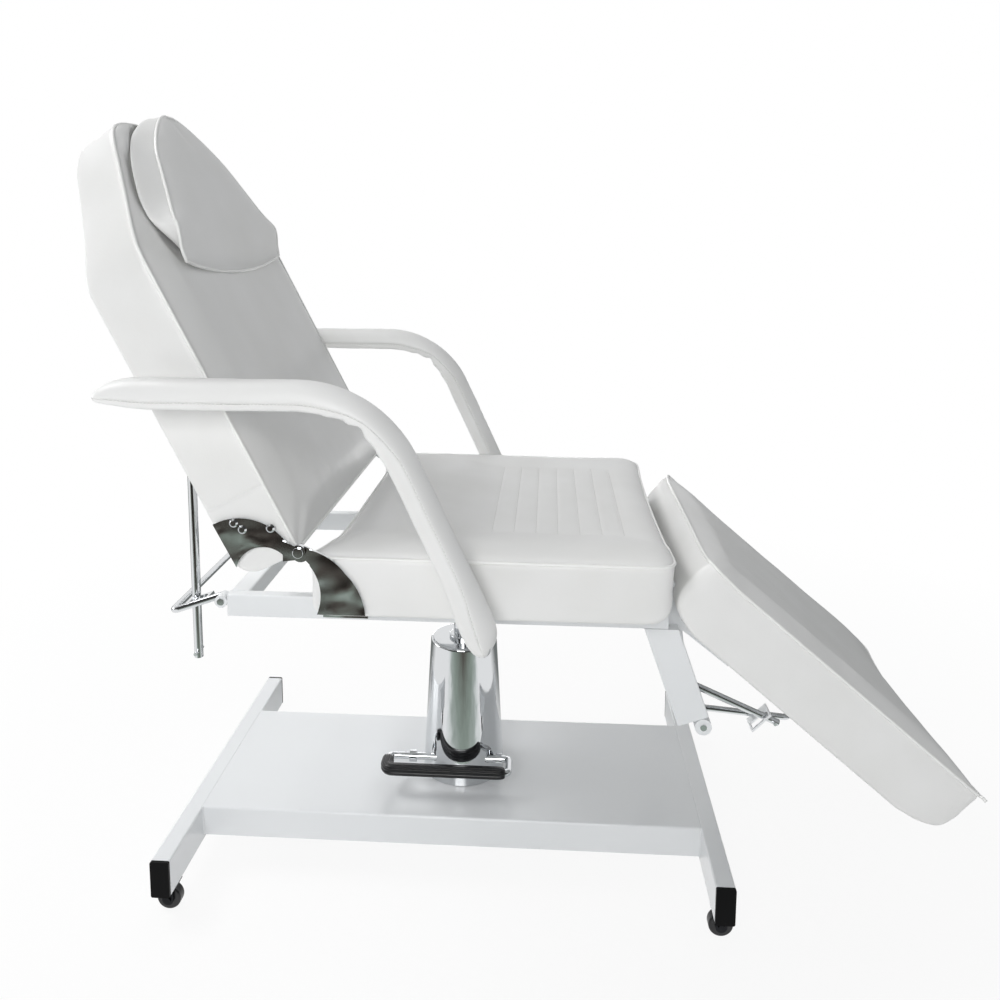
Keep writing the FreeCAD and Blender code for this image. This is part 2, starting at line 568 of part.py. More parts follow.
leg_board = prism(LEG, -236, 236, (62, LEG_LOW), [
    ((482, LEG_LOW),), ((482, LEG_LOW + BOARD),), ((62, LEG_LOW + BOARD),), ((62, LEG_LOW),)])
leg = leg.cut(prism(LEG, -236, 236, (62, LEG_LOW - 4), [
    ((482, LEG_LOW - 4),), ((482, LEG_LOW + BOARD),), ((62, LEG_LOW + BOARD),), ((62, LEG_LOW - 4),)]))
leg_slots = []
leg_bars = []
eyes = []
pins = []
spot = (LEG_HINGE.x, LEG_HINGE.z)
for side in SIDES:
    leg_slots.append(prism(LEG, side * 186, side * 208, (-20, -40), [
        ((44, -40),), ((44, 2),), ((20, 17),), ((-20, 17),), ((-20, -40),)]))
    leg_bars.append(prism(LEG, side * 180, side * 210, (64, LEG_LOW - 6), [
        ((470, LEG_LOW - 6),), ((470, LEG_LOW),), ((64, LEG_LOW),), ((64, LEG_LOW - 6),)]))
    eye_plate = prism(LEG, side * 192.5, side * 198.5, (0, 11), [
        ((7.8, 7.8), (10, -4.6)), ((42, LEG_LOW - 6),), ((150, LEG_LOW - 6),), ((150, LEG_LOW - 14),),
        ((20, LEG_LOW - 18),), ((-8, -7.5),), ((-11, 0), (0, 11))])
    if side < 0:
        lever = prism(SIDE_VIEW, side * 192.5, side * 198.5, (341, 524), [
            ((363, 524),), ((382.4, 374),), ((372, 363.6), (361.6, 374)), ((341, 524),)])
        lever = lever.cut(rod_y(5.0, ROD_B, -210, -180))
        eye_plate = eye_plate.fuse(lever).removeSplitter()
    eye_plate = eye_plate.cut(rod_y(5.0, spot, side * 180, side * 220))
    eyes.append(eye_plate)
    pins.append(fuse([rod_y(5.0, spot, side * 192.5, side * 205), rod_y(8, spot, side * 190, side * 192.5)]))
nodes["leg_cushion"] = leg.cut(Part.makeCompound(leg_slots))
nodes["leg_board"] = leg_board
nodes["leg_bars"] = Part.makeCompound(leg_bars)
nodes["leg_pivot_plates"] = Part.makeCompound(eyes)
nodes["leg_pivot_pins"] = Part.makeCompound(pins)
lever_pin = rod_y(5.0, ROD_B, -198.5, -176)
nodes["leg_lever_pin"] = lever_pin

# Support rod of the leg rest, front release bar and its lock plate
run = V(ROD_B_TIP[0] - ROD_B[0], 0, ROD_B_TIP[1] - ROD_B[1]).normalize()
start = V(ROD_B[0], ROD_B_Y, ROD_B[1])
tip = V(ROD_B_TIP[0], ROD_B_Y, ROD_B_TIP[1])
eye = rod_y(10, ROD_B, ROD_B_Y - 6, ROD_B_Y + 6)
stop_at = tip - run * 8
stop = rod(2.5, stop_at - V(0, 12, 0), stop_at + V(0, 12, 0))
leg_rod = fuse([eye, rod(ROD_B_R, start, tip), stop])
nodes["leg_support_rod"] = leg_rod.cut(rod_y(5.06, ROD_B, ROD_B_Y - 20, ROD_B_Y + 20))
loop = bent_bar(FRONT_BAR_R, [
    V(FRONT_BAR[0], -228, FRONT_BAR[1]), V(FRONT_BAR[0], -FRONT_ARM_Y, FRONT_BAR[1]),
    V(FRONT_END[0], -FRONT_ARM_Y, FRONT_END[1]), V(FRONT_END[0], FRONT_ARM_Y, FRONT_END[1]),
    V(FRONT_BAR[0], FRONT_ARM_Y, FRONT_BAR[1]), V(FRONT_BAR[0], 228, FRONT_BAR[1])], 12)
nodes["leg_release_bar"] = loop
slant = math.radians(45)
LOCK_B = (V(ROD_B_LOCK[0], 0, ROD_B_LOCK[1]), V(math.cos(slant), 0, -math.sin(slant)),
          V(math.sin(slant), 0, math.cos(slant)))
plate = prism(LOCK_B, ROD_B_Y - 12, 3 - FRONT_ARM_Y, (-1.5, -28), [
    ((1.5, -28),), ((1.5, 12),), ((-1.5, 12),), ((-1.5, -28),)])
window = prism(LOCK_B, ROD_B_Y - 8, ROD_B_Y + 8, (-9, -25), [
    ((9, -25),), ((9, 9),), ((-9, 9),), ((-9, -25),)])
nodes["leg_lock_plate"] = plate.cut(window).cut(loop)


# Armrests: steel core bent with the pad, turning on the bar at the seat rail
def arm_sweep(wide, thick, corner, y, tip_x, down):
    """A rectangular section led along the top, round the bend and down."""
    reach = ARM_BEND * math.tan(ARM_TURN / 2)
    start_x = ARM_CORNER_X - reach
    low = ARM_TOP_Z - thick / 2
    section = rounded(box(tip_x, start_x, y - wide / 2, y + wide / 2, low, low + thick), V(1, 0, 0), corner)
    face = None
    for candidate in section.Faces:
        if abs(candidate.CenterOfMass.x - start_x) < 0.001:
            face = candidate
    centre = V(start_x, y, ARM_TOP_Z - ARM_BEND)
    turn = face.revolve(centre, V(0, 1, 0), math.degrees(ARM_TURN))
    last = face.copy()
    last.rotate(centre, V(0, 1, 0), math.degrees(ARM_TURN))
    way = V(math.cos(ARM_TURN), 0, -math.sin(ARM_TURN))
    return fuse([section, turn, last.extrude(way * (down - reach))])


for side, name in ((-1, "right"), (1, "left")):
    y = side * ARM_Y
    pad = arm_sweep(ARM_WIDE, ARM_THICK, ARM_CORNER, y, ARM_TIP_X, ARM_DOWN + 30)
    nose = prism(SIDE_VIEW, y - 40, y + 40, (ARM_TIP_X - 24, 900), [
        ((ARM_TIP_X + 38, 900),), ((ARM_TIP_X + 38, 871),), ((ARM_TIP_X + 8, 858), (ARM_TIP_X, 830)),
        ((ARM_TIP_X - 24, 826),), ((ARM_TIP_X - 24, 900),)])
    toe = prism(SIDE_VIEW, y - 40, y + 40, (140, 545), [
        ((92, 545),), ((89, 508), (64, 474)), ((40, 477),), ((40, 420),), ((140, 420),), ((140, 545),)])
    pad = pad.cut(nose).cut(toe)
    core = arm_sweep(CORE_WIDE, CORE_THICK, 2, y, ARM_TIP_X + 60, ARM_DOWN - 22)
    bush = rod_y(9.5, ARM_PIVOT, y - side * 31, y + side * 19)
    core = fuse([core, bush])
    core = core.cut(rod_y(ARM_BAR_R + 0.06, ARM_PIVOT, y - side * 60, y + side * 18.2))
    way_in = rod_y(9.5, ARM_PIVOT, y - side * 60, y + side * 19)
    nodes[name + "_arm_pad"] = pad.cut(core).cut(way_in)
    nodes[name + "_arm_core"] = core

# Head pillow: small front panel, wider back panel, bowed lower edge, hollow over the cushion crown
PILLOW_BACK = 4.0
stations = [(428, 232, 4, 196, 14), (450, 236, 8, 208, 17.5), (472, 240, 11, 218, 27),
            (500, 237, 13, 238, 35), (516, 228, 13, 244, 35), (548, 207, 13, 244, 34),
            (580, 186, 12, 232, 33), (610, 166, 11, 206, 31.5), (635, 148, 10, 180, 30),
            (660, 121, 8, 152, 28), (684, 88, 6, 118, 25), (703, 56, 4, 82, 23),
            (712, 36, 2.5, 58, 22), (717, 18, 1, 36, 21.5)]
sections = [station[:4] + (PILLOW_BACK, station[4]) for station in stations]
pillow = cushion(BACK, sections, 1, 7)
LOWER_BOW = 1265.0
bow = Part.makeCylinder(LOWER_BOW, 80, at(BACK, 430 + LOWER_BOW, 0, -5), BACK[2])
nodes["head_pillow"] = pillow.common(bow)
strips = []
for s in (520, 600):
    strip = prism(BACK, -60, 60, (s, 9), [((s + 25, 9),), ((s + 25, 12),), ((s, 12),), ((s, 9),)])
    strips.append(strip.cut(nodes["head_pillow"]))
nodes["pillow_grip_strips"] = Part.makeCompound(strips)

for name, shape in nodes.items():
    shape.translate(V(-DATUM_X, 0, 0))
    shape.exportStep("parts/" + name + ".step")
overall = Part.makeCompound(list(nodes.values())).BoundBox
print(len(nodes), "parts")
print("X %.1f %.1f  Y %.1f %.1f  Z %.1f %.1f" % (
    overall.XMin, overall.XMax, overall.YMin, overall.YMax, overall.ZMin, overall.ZMax))
for name, shape in nodes.items():
    print("%-22s solids %d  valid %s  volume %.0f" % (name, len(shape.Solids), shape.isValid(), shape.Volume))
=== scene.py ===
import json
import math
import bpy
import bmesh
from mathutils import Euler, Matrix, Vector, noise
from mathutils.bvhtree import BVHTree


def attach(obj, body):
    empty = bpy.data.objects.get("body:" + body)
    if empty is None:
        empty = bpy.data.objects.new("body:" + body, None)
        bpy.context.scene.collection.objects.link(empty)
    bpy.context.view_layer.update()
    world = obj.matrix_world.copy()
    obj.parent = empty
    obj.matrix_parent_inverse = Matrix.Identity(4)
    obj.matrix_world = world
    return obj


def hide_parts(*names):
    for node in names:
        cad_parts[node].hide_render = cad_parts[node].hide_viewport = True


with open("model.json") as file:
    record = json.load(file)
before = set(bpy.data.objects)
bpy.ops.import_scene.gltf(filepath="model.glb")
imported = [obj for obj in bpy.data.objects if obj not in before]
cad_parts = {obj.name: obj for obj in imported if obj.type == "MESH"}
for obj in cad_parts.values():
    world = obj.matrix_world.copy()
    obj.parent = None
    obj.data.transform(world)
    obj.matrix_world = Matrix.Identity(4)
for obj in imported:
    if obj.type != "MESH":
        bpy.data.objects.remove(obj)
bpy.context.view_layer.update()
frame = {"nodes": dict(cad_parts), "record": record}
nodes = frame["nodes"]

# Millimetres measured from the middle of the base, as in the part's source
MM = 0.001
DATUM_X = 115.885


def spot(view, along, side, up):
    """A point of a side view (origin, run, rise), in the row frame, in metres."""
    origin, run, rise = view
    x = origin[0] + run[0] * along + rise[0] * up - DATUM_X
    z = origin[1] + run[1] * along + rise[1] * up
    return Vector((x * MM, side * MM, z * MM))


def turned(origin, degrees):
    """Side view whose run climbs by that angle and whose rise stands square on it."""
    c = math.cos(math.radians(degrees))
    s = math.sin(math.radians(degrees))
    return (origin, (c, s), (-s, c))


LEVEL = ((0.0, 0.0), (1.0, 0.0), (0.0, 1.0))
LEAN = math.radians(63.1)
BACK = ((-197.0, 613.0), (-math.cos(LEAN), math.sin(LEAN)), (math.sin(LEAN), math.cos(LEAN)))
LEG = turned((352.0, 528.0), -40.2)


def ramp(table, t):
    """Straight-line reading of a table of (position, value)."""
    if t <= table[0][0]:
        return table[0][1]
    for (a, va), (b, vb) in zip(table, table[1:]):
        if t <= b:
            return va + (vb - va) * (t - a) / (b - a)
    return table[-1][1]


def flow(table, t):
    """Smooth reading of a table of (position, value) that never overshoots."""
    slopes = [(b[1] - a[1]) / (b[0] - a[0]) for a, b in zip(table, table[1:])]
    leans = [slopes[0]]
    leans += [2 * p * q / (p + q) if p * q > 0 else 0.0 for p, q in zip(slopes, slopes[1:])]
    leans.append(slopes[-1])
    t = min(max(t, table[0][0]), table[-1][0])
    for k, ((a, va), (b, vb)) in enumerate(zip(table, table[1:])):
        if t <= b:
            w = b - a
            x = (t - a) / w
            ends = va * (1 + 2 * x) * (1 - x) ** 2 + vb * x * x * (3 - 2 * x)
            return ends + w * x * (1 - x) * (leans[k] * (1 - x) - leans[k + 1] * x)


def ease(x):
    x = min(1.0, max(0.0, x))
    return x * x * (3 - 2 * x)


# Materials

def linear(code):
    """sRGB hex to linear RGBA."""
    channels = [int(code[k:k + 2], 16) / 255 for k in (1, 3, 5)]
    return tuple(c / 12.92 if c <= 0.04045 else ((c + 0.055) / 1.055) ** 2.4 for c in channels) + (1.0,)


def add(tree, kind, inputs=None, **settings):
    """One node with its settings; an input that is a socket is linked, any other is set."""
    node = tree.nodes.new(kind)
    for key, value in settings.items():
        setattr(node, key, value)
    for key, value in (inputs or {}).items():
        if isinstance(value, bpy.types.NodeSocket):
            tree.links.new(value, node.inputs[key])
        else:
            node.inputs[key].default_value = value
    return node


def new_material(name, code, roughness, **sockets):
    """Material, tree and shader with the plain values set on the shader's own sockets."""
    material = bpy.data.materials.new(name)
    material.use_nodes = True
    tree = material.node_tree
    shader = tree.nodes["Principled BSDF"]
    shader.inputs["Base Color"].default_value = linear(code)
    shader.inputs["Roughness"].default_value = roughness
    for key, value in sockets.items():
        shader.inputs[key.replace("_", " ")].default_value = value
    return material, tree, shader


def spread(tree, value, low, high, start, end):
    """Map range node: value from low..high to start..end."""
    return add(tree, "ShaderNodeMapRange",
               {"Value": value, "From Min": low, "From Max": high, "To Min": start, "To Max": end})


def mixed(tree, factor, first, second):
    """Colour mix between two hex colours."""
    ends = {"Factor": factor, "A": linear(first), "B": linear(second)}
    return add(tree, "ShaderNodeMix", ends, data_type="RGBA")


def coated_fabric():
    """PVC-coated knit, embossed with a pebble grain: soft satin gleam, faint clouding, dull in the pits."""
    material, tree, shader = new_material("white_pvc_coated_fabric", "#EFEFED", 0.42, Specular_IOR_Level=0.36)
    place = add(tree, "ShaderNodeTexCoord").outputs["Object"]
    # pebbles of 1.5 mm, drawn at 3.2 mm so that they show
    pebble = add(tree, "ShaderNodeTexVoronoi", {"Vector": place, "Scale": 1 / 0.0032, "Randomness": 1.0})
    pull = add(tree, "ShaderNodeTexNoise",
               {"Vector": place, "Scale": 1 / 0.055, "Detail": 3.0, "Roughness": 0.5})
    cloud = add(tree, "ShaderNodeTexNoise", {"Vector": place, "Scale": 1 / 0.16, "Detail": 2.0})
    tone = spread(tree, cloud.outputs["Fac"], 0.3, 0.7, 0.0, 1.0)
    shade = mixed(tree, tone.outputs["Result"], "#ECECEA", "#F3F3F2")
    gleam = spread(tree, pebble.outputs["Distance"], 0.0, 0.6, 0.5, 0.36)
    grain = add(tree, "ShaderNodeBump",
                {"Strength": 0.16, "Distance": 0.0004, "Height": pebble.outputs["Distance"]}, invert=True)
    soft = add(tree, "ShaderNodeBump", {"Strength": 0.22, "Distance": 0.003, "Height": pull.outputs["Fac"],
                                        "Normal": grain.outputs["Normal"]})
    tree.links.new(shade.outputs[2], shader.inputs["Base Color"])
    tree.links.new(gleam.outputs["Result"], shader.inputs["Roughness"])
    tree.links.new(soft.outputs["Normal"], shader.inputs["Normal"])
    return material


def welt_cord():
    """The same coated knit drawn tight over a cord: smoother and glossier than the panels."""
    material, tree, shader = new_material("white_welt", "#F8F8F6", 0.3)
    place = add(tree, "ShaderNodeTexCoord").outputs["Object"]
    pucker = add(tree, "ShaderNodeTexNoise", {"Vector": place, "Scale": 1 / 0.006, "Detail": 1.0})
    bump = add(tree, "ShaderNodeBump",
               {"Strength": 0.25, "Distance": 0.0006, "Height": pucker.outputs["Fac"]})
    tree.links.new(bump.outputs["Normal"], shader.inputs["Normal"])
    return material


def sewing_thread():
    """Bonded polyester thread, twisted: fine bands across the stitch."""
    material, tree, shader = new_material("white_thread", "#E4E4E2", 0.6)
    place = add(tree, "ShaderNodeTexCoord").outputs["Object"]
    twist = add(tree, "ShaderNodeTexNoise", {"Vector": place, "Scale": 1 / 0.0012, "Detail": 0.0})
    bump = add(tree, "ShaderNodeBump", {"Strength": 0.3, "Distance": 0.0002, "Height": twist.outputs["Fac"]})
    tree.links.new(bump.outputs["Normal"], shader.inputs["Normal"])
    return material


def baked_enamel():
    """Powder coat baked on steel tube: even white gloss with slight orange peel."""
    material, tree, shader = new_material(
        "white_baked_enamel", "#EEF0F2", 0.3, Coat_Weight=0.45, Coat_Roughness=0.15)
    place = add(tree, "ShaderNodeTexCoord").outputs["Object"]
    # ripples of 2 mm, drawn at 4 mm so that they show
    peel = add(tree, "ShaderNodeTexNoise", {"Vector": place, "Scale": 1 / 0.004, "Detail": 1.0})
    cloud = add(tree, "ShaderNodeTexNoise", {"Vector": place, "Scale": 1 / 0.2, "Detail": 1.0})
    shade = mixed(tree, cloud.outputs["Fac"], "#ECEEF0", "#F1F3F4")
    bump = add(tree, "ShaderNodeBump", {"Strength": 0.05, "Distance": 0.0003, "Height": peel.outputs["Fac"]})
    tree.links.new(shade.outputs[2], shader.inputs["Base Color"])
    tree.links.new(bump.outputs["Normal"], shader.inputs["Normal"])
    return material


def chrome_plate():
    """Bright chromium over polished steel: mirror with a breath of polishing haze."""
    material, tree, shader = new_material("chrome_plate", "#DADCDE", 0.05, Metallic=1.0)
    place = add(tree, "ShaderNodeTexCoord").outputs["Object"]
    haze = add(tree, "ShaderNodeTexNoise", {"Vector": place, "Scale": 1 / 0.03, "Detail": 5.0})
    gloss = spread(tree, haze.outputs["Fac"], 0.35, 0.75, 0.03, 0.10)
    wave = add(tree, "ShaderNodeTexNoise", {"Vector": place, "Scale": 1 / 0.045, "Detail": 1.0})
    bump = add(tree, "ShaderNodeBump", {"Strength": 0.04, "Distance": 0.001, "Height": wave.outputs["Fac"]})
    tree.links.new(gloss.outputs["Result"], shader.inputs["Roughness"])
    tree.links.new(bump.outputs["Normal"], shader.inputs["Normal"])
    return material


def zinc_steel():
    """Zinc-plated steel: dull grey metal with spangle and fine turning marks."""
    material, tree, shader = new_material("zinc_plated_steel", "#D6D8DA", 0.35, Metallic=0.55)
    place = add(tree, "ShaderNodeTexCoord").outputs["Object"]
    spangle = add(tree, "ShaderNodeTexVoronoi", {"Vector": place, "Scale": 1 / 0.003})
    gloss = spread(tree, spangle.outputs["Distance"], 0.0, 0.7, 0.28, 0.45)
    tree.links.new(gloss.outputs["Result"], shader.inputs["Roughness"])
    return material


def black_oxide_steel():
    """Steel blackened in a hot bath: dark, oily satin with faint mottling."""
    material, tree, shader = new_material("black_oxide_steel", "#1C1D1F", 0.42, Metallic=0.85)
    place = add(tree, "ShaderNodeTexCoord").outputs["Object"]
    mottle = add(tree, "ShaderNodeTexNoise", {"Vector": place, "Scale": 1 / 0.008, "Detail": 3.0})
    shade = mixed(tree, mottle.outputs["Fac"], "#121315", "#2A2B2E")
    gloss = spread(tree, mottle.outputs["Fac"], 0.0, 1.0, 0.34, 0.5)
    tree.links.new(shade.outputs[2], shader.inputs["Base Color"])
    tree.links.new(gloss.outputs["Result"], shader.inputs["Roughness"])
    return material


def moulded_black():
    """Injection-moulded black polyethylene: satin, with spark-eroded mould grain."""
    material, tree, shader = new_material("black_moulded_plastic", "#050506", 0.45, Specular_IOR_Level=0.1)
    place = add(tree, "ShaderNodeTexCoord").outputs["Object"]
    # mould grain of 0.4 mm, drawn at 1.5 mm so that it shows
    grit = add(tree, "ShaderNodeTexNoise", {"Vector": place, "Scale": 1 / 0.0015, "Detail": 2.0})
    gloss = spread(tree, grit.outputs["Fac"], 0.3, 0.7, 0.34, 0.5)
    bump = add(tree, "ShaderNodeBump", {"Strength": 0.15, "Distance": 0.0003, "Height": grit.outputs["Fac"]})
    tree.links.new(gloss.outputs["Result"], shader.inputs["Roughness"])
    tree.links.new(bump.outputs["Normal"], shader.inputs["Normal"])
    return material


def black_rubber():
    """Vulcanised rubber: deep black, matt, with a dusty bloom."""
    material, tree, shader = new_material("black_rubber", "#0E0E10", 0.5)
    place = add(tree, "ShaderNodeTexCoord").outputs["Object"]
    bloom = add(tree, "ShaderNodeTexNoise", {"Vector": place, "Scale": 1 / 0.012, "Detail": 4.0})
    shade = mixed(tree, bloom.outputs["Fac"], "#09090B", "#19191C")
    gloss = spread(tree, bloom.outputs["Fac"], 0.0, 1.0, 0.26, 0.42)
    tree.links.new(shade.outputs[2], shader.inputs["Base Color"])
    tree.links.new(gloss.outputs["Result"], shader.inputs["Roughness"])
    return material


def dust_cloth():
    """Spun-bonded white dust cover stapled over a plywood board: matt felted threads."""
    material, tree, shader = new_material("white_dust_cloth", "#CDCDCB", 0.9)
    place = add(tree, "ShaderNodeTexCoord").outputs["Object"]
    # bond points at 1 mm, drawn at 3 mm so that they show
    bond = add(tree, "ShaderNodeTexVoronoi", {"Vector": place, "Scale": 1 / 0.003, "Randomness": 0.35})
    shade = mixed(tree, bond.outputs["Distance"], "#C2C2C0", "#DADAD8")
    bump = add(tree, "ShaderNodeBump",
               {"Strength": 0.3, "Distance": 0.0004, "Height": bond.outputs["Distance"]})
    tree.links.new(shade.outputs[2], shader.inputs["Base Color"])
    tree.links.new(bump.outputs["Normal"], shader.inputs["Normal"])
    return material


VINYL = coated_fabric()
WELT = welt_cord()
THREAD = sewing_thread()
ENAMEL = baked_enamel()
CHROME = chrome_plate()
ZINC = zinc_steel()
BLACK_STEEL = black_oxide_steel()
PLASTIC = moulded_black()
RUBBER = black_rubber()
DUST = dust_cloth()
FINISH = {"white_paint": ENAMEL, "chrome": CHROME, "bare_steel": ZINC, "black_plastic": PLASTIC,
          "black_rubber": RUBBER, "white_vinyl": VINYL, "plywood": DUST, "grip_tape": DUST}
for entry in frame["record"]["subparts"]:
    panel = nodes[entry["node"]]
    panel.data.materials.clear()
    panel.data.materials.append(FINISH[entry["material_slot"]])
nodes["back_board"].data.materials[0] = VINYL
nodes["leg_lock_plate"].data.materials[0] = ENAMEL
for node in ("wheel_forks", "wheel_axles"):
    nodes[node].data.materials[0] = BLACK_STEEL
for node in ("back_plate_screws", "hinge_rivets"):
    nodes[node].data.materials[0] = CHROME


# Geometry node trees for what follows a sewn line

def line_tree(name, sizes):
    """Empty tree that takes a run of points and the named sizes."""
    tree = bpy.data.node_groups.new(name, "GeometryNodeTree")
    tree.interface.new_socket("Geometry", in_out="INPUT", socket_type="NodeSocketGeometry")
    keys = {}
    for key in sizes:
        keys[key] = tree.interface.new_socket(key, in_out="INPUT", socket_type="NodeSocketFloat").identifier
    finish = tree.interface.new_socket("Finish", in_out="INPUT", socket_type="NodeSocketMaterial")
    keys["Finish"] = finish.identifier
    tree.interface.new_socket("Geometry", in_out="OUTPUT", socket_type="NodeSocketGeometry")
    return tree, keys, add(tree, "NodeGroupInput").outputs


def close_tree(tree, shape, given):
    """Smooth shading, the given finish and the tree's output."""
    smooth = add(tree, "GeometryNodeSetShadeSmooth", {"Geometry": shape})
    done = add(tree, "GeometryNodeSetMaterial",
               {"Geometry": smooth.outputs["Geometry"], "Material": given["Finish"]})
    add(tree, "NodeGroupOutput", {"Geometry": done.outputs["Geometry"]})


def welt_tree():
    """Round cord along the line."""
    tree, keys, given = line_tree("welt", ("Radius", "Step"))
    line = add(tree, "GeometryNodeMeshToCurve", {"Mesh": given["Geometry"]})
    even = add(tree, "GeometryNodeResampleCurve",
               {"Curve": line.outputs["Curve"], "Length": given["Step"]}, mode="LENGTH")
    ring = add(tree, "GeometryNodeCurvePrimitiveCircle", {"Resolution": 10, "Radius": given["Radius"]})
    cord = add(tree, "GeometryNodeCurveToMesh",
               {"Curve": even.outputs["Curve"], "Profile Curve": ring.outputs["Curve"], "Fill Caps": True})
    close_tree(tree, cord.outputs["Mesh"], given)
    return tree, keys


def stitch_tree():
    """Short thread lengths, one after another, with a gap between."""
    tree, keys, given = line_tree("stitches", ("Pitch", "Length", "Radius"))
    line = add(tree, "GeometryNodeMeshToCurve", {"Mesh": given["Geometry"]})
    marks = add(tree, "GeometryNodeCurveToPoints",
                {"Curve": line.outputs["Curve"], "Length": given["Pitch"]}, mode="LENGTH")
    bead = add(tree, "GeometryNodeMeshUVSphere", {"Segments": 6, "Rings": 4, "Radius": 1.0})
    half = add(tree, "ShaderNodeMath", {0: given["Length"], 1: 0.5}, operation="MULTIPLY")
    size = add(tree, "ShaderNodeCombineXYZ",
               {"X": half.outputs[0], "Y": given["Radius"], "Z": given["Radius"]})
    thread = add(tree, "GeometryNodeTransform", {"Geometry": bead.outputs["Mesh"], "Scale": size.outputs[0]})
    aim = add(tree, "FunctionNodeAlignRotationToVector", {"Vector": marks.outputs["Tangent"]}, axis="X")
    rows = add(tree, "GeometryNodeInstanceOnPoints",
               {"Points": marks.outputs["Points"], "Instance": thread.outputs["Geometry"],
                "Rotation": aim.outputs["Rotation"]})
    real = add(tree, "GeometryNodeRealizeInstances", {"Geometry": rows.outputs["Instances"]})
    close_tree(tree, real.outputs["Geometry"], given)
    return tree, keys


WELT_TREE = welt_tree()
STITCH_TREE = stitch_tree()


def along_lines(name, lines, tools, sizes, finish, body):
    """Leads a tree over runs of points and keeps a plain mesh.

    A run is a list of vectors and whether it closes.
    """
    mesh = bpy.data.meshes.new(name + "_lines")
    points = []
    edges = []
    for line, closed in lines:
        first = len(points)
        points += line
        edges += [(first + k, first + k + 1) for k in range(len(line) - 1)]
        if closed:
            edges.append((len(points) - 1, first))
    mesh.from_pydata(points, edges, [])
    piece = bpy.data.objects.new(name, mesh)
    bpy.context.scene.collection.objects.link(piece)
    tree, keys = tools
    modifier = piece.modifiers.new("line", "NODES")
    modifier.node_group = tree
    for key, value in sizes.items():
        modifier[keys[key]] = value
    modifier[keys["Finish"]] = finish
    graph = bpy.context.evaluated_depsgraph_get()
    made = bpy.data.meshes.new_from_object(piece.evaluated_get(graph))
    piece.modifiers.clear()
    piece.data = made
    made.name = name
    made.materials.clear()
    made.materials.append(finish)
    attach(piece, body)
    return piece


# Cushions: a top panel, side band and base panel meeting at a piped seam

TUCK = 2.0
BASE_INSET = 4.0


def rows_between(start, end, step, extra=()):
    """Even rows with closer ones at both ends, where the corners turn, and any extra ones."""
    near = (0.0, 1.5, 4.0, 8.0, 13.0, 20.0)
    extra = [start + d for d in near] + [end - d for d in near] + list(extra)
    count = round((end - start) / step)
    rows = [start + (end - start) * k / count for k in range(count + 1)]
    rows = [t for t in rows if all(abs(t - e) > step / 3 for e in extra)]
    return sorted(rows + extra)


def columns_across(count, half):
    """Shares from one side to the other, with one more close to each seam."""
    close = 1 - 5.0 / half
    return sorted([2 * k / count - 1 for k in range(count + 1)] + [close, -close])


class Cushion:
    """Boxed cushion in a side view: rows along it, columns across, rings down its band."""

    def __init__(self, name, view, rows, columns, rings, half, base_half, seam, low, crown, shift, drawn):
        self.name = name
        self.view = view
        self.local = []
        self.kind = []
        n = len(rows)
        m = len(columns)
        loop = [(0, k) for k in range(m)]
        loop += [(i, m - 1) for i in range(1, n)]
        loop += [(n - 1, k) for k in range(m - 2, -1, -1)]
        loop += [(i, 0) for i in range(n - 2, 0, -1)]
        size = len(loop)
        plan = [(rows[i], half(rows[i]) * columns[k]) for i, k in loop]
        inward = []
        for p in range(size):
            before = plan[p - 1]
            after = plan[(p + 1) % size]
            inward.append(Vector((after[1] - before[1], before[0] - after[0])).normalized())
        for t in rows:
            for v in columns:
                edge = seam(t, v)
                y = half(t) * v
                self.local.append((shift(t, y, edge), y, edge + crown(t, v)))
                self.kind.append("top")
        for t in rows:
            inner = rows[0] + BASE_INSET + (t - rows[0]) * (1 - 2 * BASE_INSET / (rows[-1] - rows[0]))
            for v in columns:
                y = (base_half(t) - BASE_INSET) * v
                self.local.append((shift(inner, y, low(t, v)), y, low(t, v)))
                self.kind.append("base")
        faces = []
        for i in range(n - 1):
            for k in range(m - 1):
                a = i * m + k
                b = n * m + a
                faces.append((a, a + m, a + m + 1, a + 1))
                faces.append((b, b + 1, b + m + 1, b + m))
        self.seam_loop = [i * m + k for i, k in loop]
        for p, index in enumerate(self.seam_loop):
            t, y, h = self.local[index]
            self.local[index] = (t + TUCK * inward[p][0], y + TUCK * inward[p][1], h)
            self.kind[index] = "seam"
        above = self.seam_loop
        for share in [0.055] + [ring / rings for ring in range(1, rings)]:
            first = len(self.local)
            pull = drawn * math.sin(math.pi * share) + BASE_INSET * max(0.0, share * 6 - 5) ** 2
            for p, (i, k) in enumerate(loop):
                t = rows[i]
                v = columns[k]
                y = (half(t) + (base_half(t) - half(t)) * share) * v
                h = seam(t, v) + (low(t, v) - seam(t, v)) * share
                self.local.append((shift(t, y, h) + inward[p][0] * pull, y + inward[p][1] * pull, h))
                self.kind.append("band")
            here = list(range(first, first + size))
            faces += [(above[p - 1], above[p], here[p], here[p - 1]) for p in range(size)]
            above = here
        lower = [n * m + index for index in self.seam_loop]
        faces += [(above[p - 1], above[p], lower[p], lower[p - 1]) for p in range(size)]
        mesh = bpy.data.meshes.new(name)
        mesh.from_pydata([spot(view, *p) for p in self.local], [], faces)
        outward(mesh)
        self.piece = bpy.data.objects.new(name, mesh)
        bpy.context.scene.collection.objects.link(self.piece)
        self.rest = [v.co.copy() for v in mesh.vertices]
        self.sewn = []

    def seam_line(self, lift):
        """Seam points pushed out of the cushion by that much, after filling."""
        mesh = self.piece.data
        mesh.update()
        return [mesh.vertices[k].co + mesh.vertices[k].normal * lift for k in self.seam_loop]


